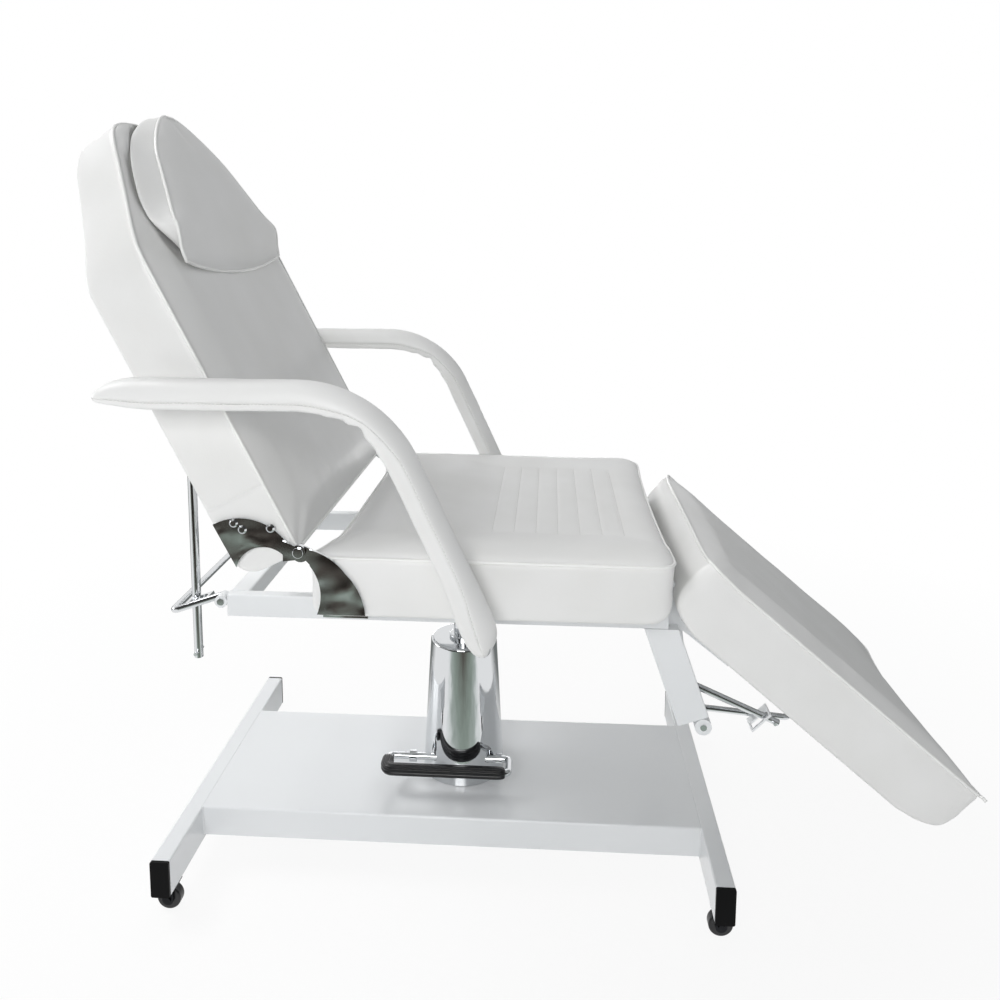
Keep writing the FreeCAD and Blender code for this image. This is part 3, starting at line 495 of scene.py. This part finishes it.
def outward(mesh):
    """Turns every face of a closed shell to the outside."""
    work = bmesh.new()
    work.from_mesh(mesh)
    bmesh.ops.recalc_face_normals(work, faces=work.faces)
    work.to_mesh(mesh)
    work.free()


FILL_FRAMES = 20
FILL_PRESSURE = 4.0


def fill_cushions(cushions):
    """Cloth under pressure, held at the seams and base; the swelling is capped and kept as plain mesh."""
    scene = bpy.context.scene
    for cushion, _, _ in cushions:
        group = cushion.piece.vertex_groups.new(name="held")
        held = [k for k, kind in enumerate(cushion.kind) if kind in ("seam", "base")] + cushion.sewn
        group.add(held, 1.0, "REPLACE")
        cloth = cushion.piece.modifiers.new("fill", "CLOTH")
        cloth.settings.quality = 5
        cloth.settings.mass = 0.4
        cloth.settings.tension_stiffness = 30
        cloth.settings.compression_stiffness = 30
        cloth.settings.shear_stiffness = 12
        cloth.settings.bending_stiffness = 6
        cloth.settings.use_pressure = True
        cloth.settings.uniform_pressure_force = FILL_PRESSURE
        cloth.settings.vertex_group_mass = "held"
        cloth.settings.effector_weights.gravity = 0
        cloth.collision_settings.use_collision = False
        cloth.point_cache.frame_start = 1
        cloth.point_cache.frame_end = FILL_FRAMES
    for number in range(1, FILL_FRAMES + 1):
        scene.frame_set(number)
    graph = bpy.context.evaluated_depsgraph_get()
    for cushion, cap, side_cap in cushions:
        swollen = bpy.data.meshes.new_from_object(cushion.piece.evaluated_get(graph))
        for k, vertex in enumerate(swollen.vertices):
            step = vertex.co - cushion.rest[k]
            most = (cap if cushion.kind[k] == "top" else side_cap) * MM
            if step.length > most:
                step *= most / step.length
            cushion.piece.data.vertices[k].co = cushion.rest[k] + step
        bpy.data.meshes.remove(swollen)
        cushion.piece.modifiers.clear()
        cushion.piece.vertex_groups.clear()
    scene.frame_set(1)


def shaped(cushion, kinds, move):
    """Moves points of those kinds along their own normals by move(along, side, up) millimetres."""
    mesh = cushion.piece.data
    mesh.update()
    normals = [v.normal.copy() for v in mesh.vertices]
    for k, place in enumerate(cushion.local):
        if cushion.kind[k] in kinds:
            mesh.vertices[k].co += normals[k] * (move(*place) * MM)


def uneven(t, y, h):
    """Slight unevenness of the stuffing under the cover."""
    return 0.9 * noise.noise(Vector((t, y, h)) / 75.0) + 0.4 * noise.noise(Vector((y, h, t)) / 28.0)


def smoothed(piece):
    """Smooth shading and one subdivision."""
    for face in piece.data.polygons:
        face.use_smooth = True
    finer = piece.modifiers.new("finer", "SUBSURF")
    finer.levels = 1
    finer.render_levels = 1


def finished(cushion, body, node):
    """Cover, creased seam and the calls that put the cushion on its body."""
    shaped(cushion, ("top", "band"), uneven)
    mesh = cushion.piece.data
    mesh.materials.clear()
    mesh.materials.append(VINYL)
    crease = mesh.attributes.new("crease_edge", "FLOAT", "EDGE")
    seam = set(cushion.seam_loop)
    for edge in mesh.edges:
        if edge.vertices[0] in seam and edge.vertices[1] in seam:
            crease.data[edge.index].value = 0.6
    smoothed(cushion.piece)
    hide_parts(node)
    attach(cushion.piece, body)


def roll(distance, run):
    """Rise of a plump edge from the seam to the flat, 0 to 1."""
    x = min(1.0, max(0.0, distance / run))
    return (1 - (1 - x) ** 3) ** 0.6


def crown_of(height, half, t0, t1, run, dip=0.0):
    """Crown that rolls up from the seam on all four sides, then dips a little to the flat."""
    def crown(t, v):
        edge = (1 - abs(v)) * half(t)
        rise = height * roll(edge, run) * roll(t - t0, run) * roll(t1 - t, run)
        return rise - dip * ease((edge - 0.9 * run) / (0.9 * run))
    return crown


CHANNELS = (74.0, 108.0, 142.0, 176.0, 210.0, 244.0, 278.0)
CHANNEL_HALF = 205.0
SEAT_ENDS = (-192.0, 345.0)


def seat_half(t):
    return flow([(-192, 296), (-189, 303), (-183, 309), (-172, 312), (312, 312), (324, 310), (333, 305.5),
                 (339, 300), (343, 293), (345, 284)], t)


def seat_shift(t, y, h):
    """Rear edge scooped between two ears, front edge a little hollow, lower edges rounded."""
    t0, t1 = SEAT_ENDS
    rear = 32 * (1 - (abs(y) / 312) ** 6) + ramp([(514, 6), (530, 0)], h)
    front = -6 * (1 - (y / 300) ** 2) + ramp([(514, -10), (522, -4), (535, 0)], h)
    return t + rear * (1 - ease((t - t0) / 200)) + front * (1 - ease((t1 - t) / 160))


def seat_seam(t, v):
    return ramp([(-192, 603), (345, 600)], t)


seat = Cushion(
    "seat_upholstery", LEVEL,
    rows_between(*SEAT_ENDS, 10, [c + d for c in CHANNELS for d in (-5.0, -2.5, 0.0, 2.5, 5.0)]),
    columns_across(64, 312), 11, seat_half, seat_half, seat_seam, lambda t, v: 514.0,
    crown_of(15.0, seat_half, *SEAT_ENDS, 52, 4.5), seat_shift, 2.5)
seat.sewn = [k for k, (t, y, h) in enumerate(seat.local) if seat.kind[k] == "top" and abs(y) < CHANNEL_HALF
             and any(abs(t - c) < 3.0 for c in CHANNELS)]

BACK_ENDS = (2.0, 706.0)
BACK_SEAM_ROW = 110.0


def back_half(t):
    return flow([(2, 309), (8, 311.5), (20, 312), (462, 312), (490, 308), (514, 296), (571, 259), (630, 221),
                 (665, 199), (680, 186), (691, 170), (699, 148), (703, 127), (705, 108), (706, 90)], t)


def back_base(t):
    return flow([(2, 309), (8, 311.5), (20, 312), (462, 310), (490, 298), (514, 280), (571, 241), (630, 203),
                 (665, 180), (680, 167), (691, 152), (699, 132), (703, 113), (705, 96), (706, 80)], t)


def back_low(t, v):
    return flow([(2, -98.5), (462, -98.5), (490, -96), (514, -93), (571, -89), (630, -86), (665, -84),
                 (706, -82)], t)


def back_shift(t, y, h):
    """Lower end set back under the front panel, head end rounded into the rear."""
    t0, t1 = BACK_ENDS
    foot = ramp([(-98.5, 14), (-88, 2), (-75, -5), (-62, -7), (-40, -7), (-16, -6), (-2, 0)], h)
    head = ramp([(-83, -12), (-78, -6), (-73, -3), (-60, -1), (-45, 0)], h)
    return t + foot * (1 - ease((t - t0) / 90)) + head * (1 - ease((t1 - t) / 60))


back = Cushion(
    "back_upholstery", BACK,
    rows_between(*BACK_ENDS, 10, [BACK_SEAM_ROW + d for d in (-4.0, -1.6, 0.0, 1.6, 4.0)]),
    columns_across(60, 312), 11, back_half, back_base, lambda t, v: -2.0, back_low,
    crown_of(8.0, back_half, *BACK_ENDS, 42), back_shift, 2.0)

LEG_ENDS = (-5.0, 546.0)


def leg_half(t):
    return flow([(-5, 247), (-2, 252.5), (4, 257), (12, 259.3), (24, 260), (520, 260), (531, 258.5),
                 (538, 255), (543, 249), (546, 239)], t)


def leg_seam(t, v):
    """Seam height: lifted a little at the knee corners, worn down in the middle of the foot edge."""
    foot = (1 - abs(v) ** 2.5) * (1 - ease((LEG_ENDS[1] - t) / 120))
    knee = (1 - ease((t - LEG_ENDS[0]) / 70)) * abs(v) ** 8
    return 74.0 - 10.0 * foot + 4.0 * knee


def leg_low(t, v):
    return flow([(-5, -22.4), (488, -22.4), (520, -19), (546, -17)], t)


def leg_shift(t, y, h):
    """Knee end rolled in below, foot edge hollow in the middle and swept in below."""
    t0, t1 = LEG_ENDS
    knee = ramp([(-22.4, 48), (-16, 24), (-8, 11), (4, 3), (20, -2), (60, -2), (74, 2)], h)
    foot = ramp([(-22.4, -46), (-17, -40), (-13, -28), (-5, -13), (7, -5), (28, 0), (52, -1), (74, -2)], h)
    foot -= 15 * (1 - (abs(y) / 260) ** 2.2)
    return t + knee * (1 - ease((t - t0) / 100)) + foot * (1 - ease((t1 - t) / 130))


leg = Cushion(
    "leg_upholstery", LEG, rows_between(*LEG_ENDS, 10), columns_across(54, 260), 12, leg_half, leg_half,
    leg_seam, leg_low, crown_of(7.0, leg_half, *LEG_ENDS, 44), leg_shift, 2.5)

PILLOW_ENDS = (430.0, 717.0)


def pillow_half(t):
    return flow([(430, 228), (436, 233), (450, 236), (472, 239), (500, 237), (516, 228), (548, 207),
                 (580, 186), (610, 166), (635, 148), (660, 121), (684, 88), (703, 56),
                 (712, 36), (717, 18)], t)


def pillow_base(t):
    return flow([(430, 190), (445, 204), (460, 216), (480, 230), (500, 239), (524, 244), (555, 241),
                 (591, 224), (624, 202), (652, 177), (675, 150), (693, 118), (704, 94),
                 (712, 72), (717, 50)], t)


def pillow_lift(t, v):
    """Lower corners stand off the backrest."""
    return 11.0 * (1 - ease((t - 450) / 90)) * abs(v) ** 4


def pillow_low(t, v):
    return 5.0 + 6.5 * (1 - v * v) + pillow_lift(t, v)


def pillow_seam(t, v):
    height = flow([(430, 14), (450, 18), (472, 27), (500, 35), (516, 35), (548, 34), (580, 33), (610, 32),
                   (635, 31), (660, 30), (684, 29), (703, 28), (717, 27)], t)
    return 0.8 * pillow_lift(t, v) + height


def pillow_shift(t, y, h):
    """Lower edge bowed up towards the sides."""
    return t + 20 * (y / 225) ** 2 * (1 - ease((t - PILLOW_ENDS[0]) / 130))


pillow = Cushion(
    "pillow_upholstery", BACK, rows_between(*PILLOW_ENDS, 9), columns_across(40, 230), 7, pillow_half,
    pillow_base, pillow_seam, pillow_low, crown_of(7.0, pillow_half, *PILLOW_ENDS, 60), pillow_shift, 1.0)

# Armrest pads: a domed section led along the top, round the bend and down
ARM_Y = 357.0
ARM_Z = 850.0
ARM_DROP = 286.0
ARM_TIP = -460.0
ARM_BEND = 165.0
ARM_TURN = math.radians(65.0)
ARM_START = -78.7 - ARM_BEND * math.tan(ARM_TURN / 2)
ARM_FLAT = ARM_START - ARM_TIP
ARM_ARC = ARM_BEND * ARM_TURN
ARM_LENGTH = ARM_FLAT + ARM_ARC + ARM_DROP
ARM_MID = ARM_FLAT + 0.52 * ARM_ARC
# points in each part of the section
DOME = 26
WALL = 4
CORNER = 4
FLOOR = 10


def arm_point(run, q):
    """Point of the arm's side view at that run from the tip, q out from the centre line."""
    if run < ARM_FLAT:
        return (ARM_TIP + run, ARM_Z + q)
    turn = min((run - ARM_FLAT) / ARM_BEND, ARM_TURN)
    past = max(0.0, run - ARM_FLAT - ARM_ARC)
    x = ARM_START + (ARM_BEND + q) * math.sin(turn) + past * math.cos(ARM_TURN)
    z = ARM_Z - ARM_BEND + (ARM_BEND + q) * math.cos(turn) - past * math.sin(ARM_TURN)
    return (x, z)


def arm_bounds(run):
    """Outer and inner face of the pad at that run, its half width and the height of the cover's seam."""
    left = ARM_LENGTH - run
    top = min(flow([(0, 0), (3, 5), (7, 8.5), (14, 12), (28, 17), (50, 20)], run),
              flow([(0, -6), (2, 0), (6, 6), (12, 11), (20, 15), (30, 18), (44, 20)], left))
    low = flow([(0, -9), (10, -12), (30, -15), (60, -18.5), (80, -20)], run)
    low += flow([(0, 6), (3, 2), (8, -2), (18, -5), (36, -7), (60, -6), (100, -2), (130, 0)], left)
    low += 7.0 * math.exp(-((run - ARM_MID) / 40) ** 2)
    wide = min(flow([(0, 21), (3, 25), (8, 28.2), (16, 30.4), (28, 31)], run),
               flow([(0, 21), (4, 25.5), (12, 29), (26, 31)], left))
    share = 0.74 - 0.33 * ease((run - ARM_FLAT - 0.2 * ARM_ARC) / (0.9 * ARM_ARC))
    share += 0.18 * ease((120 - left) / 120)
    return top, low, wide, top - share * (top - low)


def section(top, low, wide, seam, dome):
    """Points round the pad: dome above the seam, then wall, small corner, underside and back up."""
    corner = min(8.0, 0.75 * (seam - low))
    points = [(-wide, seam)]
    for k in range(1, DOME):
        angle = math.pi * (k - 0.6) / (DOME - 1.2)
        c = math.cos(angle)
        height = (top - seam) * abs(math.sin(angle)) ** dome
        points.append((math.copysign(wide * abs(c) ** dome, -c), seam + height))
    points.append((wide, seam))
    for k in range(1, WALL + 1):
        points.append((wide - 1.0 * k / WALL, seam + (low + corner - seam) * (k / WALL) ** 1.6))
    for k in range(1, CORNER + 1):
        angle = math.pi / 2 * k / CORNER
        points.append((wide - 1 - corner + corner * math.cos(angle), low + corner - corner * math.sin(angle)))
    for k in range(1, FLOOR):
        points.append(((wide - 1 - corner) * (1 - 2 * k / FLOOR), low))
    for y, q in points[DOME + WALL + CORNER:DOME:-1]:
        points.append((-y, q))
    return points


def arm_pad(name, side):
    """Pad with its seam drawn in and its cover gathered inside the bend.

    Gives the piece and its seam lines.
    """
    runs = [0, 2, 5, 9, 14, 20, 27, 35] + [43 + 6 * k for k in range(int((ARM_LENGTH - 86) / 6) + 1)]
    runs += [ARM_LENGTH - d for d in (35, 27, 20, 14, 9, 5, 2, 0)]
    points = []
    lines = ([], [])
    for run in runs:
        top, low, wide, seam = arm_bounds(run)
        bend = math.exp(-((run - ARM_MID) / 52) ** 2)
        dome = 0.86 + 0.56 * ease((run - ARM_FLAT) / ARM_ARC)
        round_points = section(top, low, wide, seam, dome)
        around = len(round_points)
        for k, (y, q) in enumerate(round_points):
            under = ease((seam + 3 - q) / 16)
            fold = math.sin((run - ARM_MID) / 5.2 + 0.9 * math.sin(y * 0.13))
            fold += 0.5 * math.sin((run - ARM_MID) / 2.7 + y * 0.09)
            q += (1.7 * bend * fold + 3.2 * math.exp(-((run - ARM_MID - 6) / 6) ** 2)) * under
            y *= 1 - 0.02 * bend * under * fold
            q += 0.7 * noise.noise(Vector((run, y, 9.0 * side)) / 45.0)
            if k in (0, DOME):
                x, z = arm_point(run, q)
                lines[k == DOME].append(Vector(((x - DATUM_X) * MM, side * (ARM_Y + y * 0.985) * MM, z * MM)))
                y *= 1 - 3.4 / wide
            x, z = arm_point(run, q)
            points.append(Vector(((x - DATUM_X) * MM, side * (ARM_Y + y) * MM, z * MM)))
    faces = []
    n = len(runs)
    for i in range(n - 1):
        for k in range(around):
            a = i * around + k
            b = i * around + (k + 1) % around
            faces.append((a, b, b + around, a + around))
    for end in (0, n - 1):
        ring = [end * around + k for k in range(around)]
        middle = len(points)
        points.append(sum((points[k] for k in ring), Vector()) / around)
        faces += [(ring[k - 1], ring[k], middle) for k in range(around)]
    mesh = bpy.data.meshes.new(name)
    mesh.from_pydata(points, [], faces)
    outward(mesh)
    piece = bpy.data.objects.new(name, mesh)
    bpy.context.scene.collection.objects.link(piece)
    return piece, [(line[6:-6], False) for line in lines]


# the most that each cushion's top and its band may swell
fill_cushions([(seat, 6.0, 2.0), (back, 7.0, 2.0), (leg, 7.0, 3.0), (pillow, 7.0, 1.0)])

# stitched channels of the seat, and the sewn join down the backrest's band
shaped(seat, ("top",), lambda t, y, h: -sum(0.9 * math.exp(-((t - c) / 3.0) ** 2) for c in CHANNELS)
       * ease((CHANNEL_HALF + 8 - abs(y)) / 40))
shaped(back, ("band",), lambda t, y, h: -2.6 * math.exp(-((t - BACK_SEAM_ROW) / 2.2) ** 2))
# the pillow's weight flattens the panel under it
shaped(back, ("top",), lambda t, y, h: -8.0 * ease((t - 425) / 70)
       * ease((pillow_base(t) + 14 - abs(y)) / 26))
finished(seat, "seat_frame", "seat_cushion")
finished(back, "backrest", "back_cushion")
finished(leg, "leg_rest", "leg_cushion")
finished(pillow, "pillow", "head_pillow")
WELT_SIZE = {"Radius": 0.0026, "Step": 0.006}
WELT_TAIL = ((0.0, 0.0, 0.0), (0.004, -0.004, -0.002), (0.008, -0.006, -0.006))
ARM_STITCH = {"Pitch": 0.0052, "Length": 0.0038, "Radius": 0.0006}
SEAT_STITCH = {"Pitch": 0.007, "Length": 0.0052, "Radius": 0.0007}
BEAD_SIZE = {"Radius": 0.0016, "Step": 0.01}
for cushion, body in ((seat, "seat_frame"), (back, "backrest"), (leg, "leg_rest"), (pillow, "pillow")):
    lines = [(cushion.seam_line(0.0012), True)]
    if cushion is leg:
        # the welt's joint leaves a short tail at one foot corner
        corner = max(lines[0][0], key=lambda p: p.x - 0.6 * p.y - 0.5 * p.z)
        tail = [corner + Vector(step) for step in WELT_TAIL]
        lines.append((tail, False))
    along_lines(cushion.name + "_welt", lines, WELT_TREE, WELT_SIZE, WELT, body)

for side, word in ((-1, "right"), (1, "left")):
    pad, lines = arm_pad(word + "_arm_upholstery", side)
    pad.data.materials.append(VINYL)
    smoothed(pad)
    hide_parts(word + "_arm_pad")
    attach(pad, word + "_arm")
    along_lines(word + "_arm_stitches", lines, STITCH_TREE, ARM_STITCH, THREAD, word + "_arm")

# Ribbed rubber sleeve led round one elbow of the pedal and along its front bar
GRIP_ELBOW = (-116.0, -97.0)
GRIP_BEND = 13.0
GRIP_BACK = -66.0
GRIP_RIGHT = 83.0
GRIP_Z = 145.6
GRIP_HALF = (10.4, 9.6)
GRIP_RIBS = 5


def grip_path():
    """Plan points and headings of the sleeve's centre line, from behind the elbow to the bar's other end."""
    x0, y0 = GRIP_ELBOW
    path = [((x0, GRIP_BACK + (y0 + GRIP_BEND - GRIP_BACK) * k / 2), -90.0) for k in range(2)]
    for k in range(9):
        turn = 90.0 * k / 8
        angle = math.radians(180 + turn)
        place = (x0 + GRIP_BEND * (1 + math.cos(angle)), y0 + GRIP_BEND * (1 + math.sin(angle)))
        path.append((place, turn - 90.0))
    run = GRIP_RIGHT - x0 - GRIP_BEND
    path += [((x0 + GRIP_BEND + run * k / 24, y0), 0.0) for k in range(1, 25)]
    return path


def pedal_grip():
    points = []
    faces = []
    around = 12 * GRIP_RIBS
    path = grip_path()
    rings = [(path[0], 0.45), (path[0], 0.8)] + [(place, 1.0) for place in path]
    rings += [(path[-1], 0.94), (path[-1], 0.8), (path[-1], 0.5)]
    push = [-4.0, -3.0] + [0.0] * len(path) + [5.0, 8.5, 10.5]
    for ((centre, heading), size), ahead in zip(rings, push):
        c = math.cos(math.radians(heading))
        s = math.sin(math.radians(heading))
        for k in range(around):
            angle = 2 * math.pi * k / around
            rib = 1.0 - 0.18 * max(0.0, math.cos(GRIP_RIBS * 2 * angle)) ** 6
            wide = math.copysign(abs(math.cos(angle)) ** 0.75, math.cos(angle)) * GRIP_HALF[0] * size * rib
            tall = math.copysign(abs(math.sin(angle)) ** 0.75, math.sin(angle)) * GRIP_HALF[1] * size * rib
            x = centre[0] + ahead * c - wide * s
            y = centre[1] + ahead * s + wide * c
            points.append(spot(LEVEL, x, y, GRIP_Z + tall))
    for level in range(len(rings) - 1):
        for k in range(around):
            a = level * around + k
            b = level * around + (k + 1) % around
            faces.append((a, b, b + around, a + around))
    faces.append(tuple(range(around - 1, -1, -1)))
    faces.append(tuple(range(len(points) - around, len(points))))
    mesh = bpy.data.meshes.new("pedal_grip")
    mesh.from_pydata(points, [], faces)
    outward(mesh)
    grip = bpy.data.objects.new("pedal_grip", mesh)
    bpy.context.scene.collection.objects.link(grip)
    mesh.materials.append(RUBBER)
    smoothed(grip)
    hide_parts("pedal_pad")
    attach(grip, "pedal")


pedal_grip()

# Painted weld beads where the base cover meets the legs
COVER_END = 418.35
COVER_SIDE = 160.0
BASE_TOP = 102.0
COVER_FOOT = 52.0
beads = []
for x in (-COVER_END, COVER_END):
    over = [spot(LEVEL, x, y, BASE_TOP - 1.52) for y in (-COVER_SIDE, 0.0, COVER_SIDE)]
    beads.append((over, False))
    for y in (-COVER_SIDE, COVER_SIDE):
        beads.append(([spot(LEVEL, x, y, z) for z in (COVER_FOOT, BASE_TOP - 1.6)], False))
along_lines("base_weld_beads", beads, WELT_TREE, BEAD_SIZE, ENAMEL, "base")

# Stitched lines
graph = bpy.context.evaluated_depsgraph_get()


CAST = 0.08


def on_surface(piece, points, way, lift):
    """Points cast along a direction on to a piece, lifted off it a little."""
    evaluated = piece.evaluated_get(graph)
    mesh = evaluated.to_mesh()
    tree = BVHTree.FromPolygons([v.co for v in mesh.vertices], [p.vertices for p in mesh.polygons])
    evaluated.to_mesh_clear()
    line = []
    for point in points:
        hit, normal, _, _ = tree.ray_cast(point - way * CAST, way, 2 * CAST)
        if hit is not None:
            line.append(hit + normal * lift)
    return line


seat_lines = []
for c in CHANNELS:
    points = [spot(LEVEL, c, y, 612) for y in range(-200, 201, 4)]
    seat_lines.append((on_surface(seat.piece, points, Vector((0, 0, -1)), 0.0002), False))
along_lines("seat_channel_stitches", seat_lines, STITCH_TREE, SEAT_STITCH, THREAD,
            "seat_frame")

# Camera at the photograph's place
camera = bpy.data.cameras.new("camera")
camera.sensor_width = 36.0
camera.lens = 32.40
camera.shift_x = 0.0053
camera.shift_y = -0.1403
camera.clip_end = 60.0
viewer = bpy.data.objects.new("camera", camera)
viewer.location = ((158.1 - DATUM_X) * MM, -1544.9 * MM, 1057.8 * MM)
yaw = Euler((0, 0, math.radians(3.443))).to_matrix()
pitch = Euler((math.radians(90 - 7.502), 0, 0)).to_matrix()
tilt = Euler((0, 0, math.radians(0.295))).to_matrix()
viewer.rotation_euler = (yaw @ pitch @ tilt).to_euler()
bpy.context.scene.collection.objects.link(viewer)
bpy.context.scene.camera = viewer


# Studio: pale floor, pale surroundings and four soft lamps, two of them low and weak

def lamp(name, place, aim, size, watts):
    light = bpy.data.lights.new(name, "AREA")
    light.shape = "RECTANGLE"
    light.size = size[0]
    light.size_y = size[1]
    light.energy = watts
    holder = bpy.data.objects.new(name, light)
    holder.location = place
    holder.rotation_euler = (Vector(aim) - Vector(place)).to_track_quat("-Z", "Y").to_euler()
    bpy.context.scene.collection.objects.link(holder)


lamp("key", (-0.4, -3.4, 1.9), (0, 0, 0.65), (1.6, 1.6), 53)
lamp("upper_left", (-4.0, 0.9, 5.4), (0.2, 0, 0.5), (2.6, 2.2), 165)
lamp("low_left", (-2.6, 0.3, 0.8), (0, 0, 0.1), (1.0, 0.6), 9)
lamp("low_far", (-0.35, 2.0, 0.42), (0.25, 0, 0.12), (1.4, 0.3), 6)

floor_mesh = bpy.data.meshes.new("floor")
floor_mesh.from_pydata([(-14, -10, 0), (14, -10, 0), (14, 20, 0), (-14, 20, 0)], [], [(0, 1, 2, 3)])
floor = bpy.data.objects.new("floor", floor_mesh)
bpy.context.scene.collection.objects.link(floor)
ground, tree, shader = new_material("pale_floor", "#F4F4F4", 0.6)
ray = add(tree, "ShaderNodeLightPath").outputs
place = add(tree, "ShaderNodeTexCoord").outputs["Object"]
reach = add(tree, "ShaderNodeVectorMath", {0: place}, operation="LENGTH")
fade = spread(tree, reach.outputs["Value"], 0.6, 1.9, 0.9, 1.0)
glow = add(tree, "ShaderNodeEmission", {"Color": (1, 1, 1, 1), "Strength": 1.0})
pale = add(tree, "ShaderNodeMixShader", {0: fade.outputs["Result"], 1: shader.outputs[0], 2: glow.outputs[0]})
# painted reflection: to glossy rays the floor glows with what bright metal should mirror, pale floor round
# the object, a painted blotchy dim room end in front of it and grey behind it; no lamp or room is there
axes = add(tree, "ShaderNodeSeparateXYZ", {0: place}).outputs
aside = add(tree, "ShaderNodeMath", {0: axes["X"], 1: 0.05}, operation="ADD")
aside = add(tree, "ShaderNodeMath", {0: aside.outputs[0]}, operation="ABSOLUTE")
depth = add(tree, "ShaderNodeMath", {0: axes["Y"], 1: aside.outputs[0]}, operation="ADD")
painted_reflection_noise = add(tree, "ShaderNodeTexNoise",
              {"Vector": place, "Scale": 1 / 0.1, "Detail": 3.0, "Distortion": 0.6})
blotch = spread(tree, painted_reflection_noise.outputs["Fac"], 0.3, 0.7, -1.0, 1.0).outputs["Result"]
far = spread(tree, axes["Y"], -1.6, -1.0, 0.9, 0.08).outputs["Result"]
blotch = add(tree, "ShaderNodeMath", {0: blotch, 1: far}, operation="MULTIPLY")
depth = add(tree, "ShaderNodeMath", {0: depth.outputs[0], 1: blotch.outputs[0]}, operation="ADD")
dim = spread(tree, depth.outputs[0], -1.6, 0.1, 0.0, 1.0)
# painted reflection: colours of the dim room end that only glossy rays see
painted_reflection_ramp = add(tree, "ShaderNodeValToRGB", {"Fac": dim.outputs["Result"]})
stops = painted_reflection_ramp.color_ramp.elements
stops[0].color = linear("#2A2623")
stops[1].color = linear("#FFFFFF")
PAINTED_REFLECTION_STOPS = ((0.34, "#57514C"), (0.5, "#7F867E"), (0.7, "#98A49B"), (0.82, "#B0B9B3"), (0.9, "#E8ECEA"))
for position, code in PAINTED_REFLECTION_STOPS:
    stops.new(position).color = linear(code)
rear = spread(tree, axes["Y"], 0.2, 0.55, 0.0, 0.9)
seen = add(tree, "ShaderNodeMix",
           {"Factor": rear.outputs["Result"], "A": painted_reflection_ramp.outputs["Color"], "B": linear("#5C6260")},
           data_type="RGBA")
# painted reflection: this glow stands in for a dim room and is seen only by glossy rays
painted_reflection_glow = add(tree, "ShaderNodeEmission", {"Color": seen.outputs[2], "Strength": 1.0})
bright = add(tree, "ShaderNodeMixShader",
             {0: ray["Is Glossy Ray"], 1: shader.outputs[0], 2: painted_reflection_glow.outputs[0]})
both = add(tree, "ShaderNodeMixShader", {0: ray["Is Camera Ray"], 1: bright.outputs[0], 2: pale.outputs[0]})
tree.links.new(both.outputs[0], tree.nodes["Material Output"].inputs["Surface"])
floor_mesh.materials.append(ground)

world = bpy.data.worlds.new("studio")
bpy.context.scene.world = world
world.use_nodes = True
tree = world.node_tree
tree.nodes.clear()
ray = add(tree, "ShaderNodeLightPath").outputs
way = add(tree, "ShaderNodeTexCoord").outputs["Generated"]
split = add(tree, "ShaderNodeSeparateXYZ", {0: way}).outputs
behind = spread(tree, split["Y"], -0.4, 0.6, 0.06, 1.0)
height = spread(tree, split["Z"], 0.0, 1.0, 0.43, 0.15).outputs["Result"]
# the foot end of the room is a little brighter
ends = spread(tree, split["X"], -1.0, 1.0, 0.75, 1.3).outputs["Result"]
level = add(tree, "ShaderNodeMath", {0: height, 1: ends}, operation="MULTIPLY")
room = add(tree, "ShaderNodeBackground", {"Color": (0.96, 0.98, 1.0, 1.0), "Strength": level.outputs[0]})
mirror = add(tree, "ShaderNodeBackground", {"Color": (1, 1, 1, 1), "Strength": behind.outputs["Result"]})
white = add(tree, "ShaderNodeBackground", {"Color": (1, 1, 1, 1), "Strength": 1.0})
glossy = add(tree, "ShaderNodeMixShader", {0: ray["Is Glossy Ray"], 1: room.outputs[0], 2: mirror.outputs[0]})
plain = add(tree, "ShaderNodeMixShader", {0: ray["Is Camera Ray"], 1: glossy.outputs[0], 2: white.outputs[0]})
add(tree, "ShaderNodeOutputWorld", {"Surface": plain.outputs[0]})

bpy.context.scene.view_settings.view_transform = "Standard"
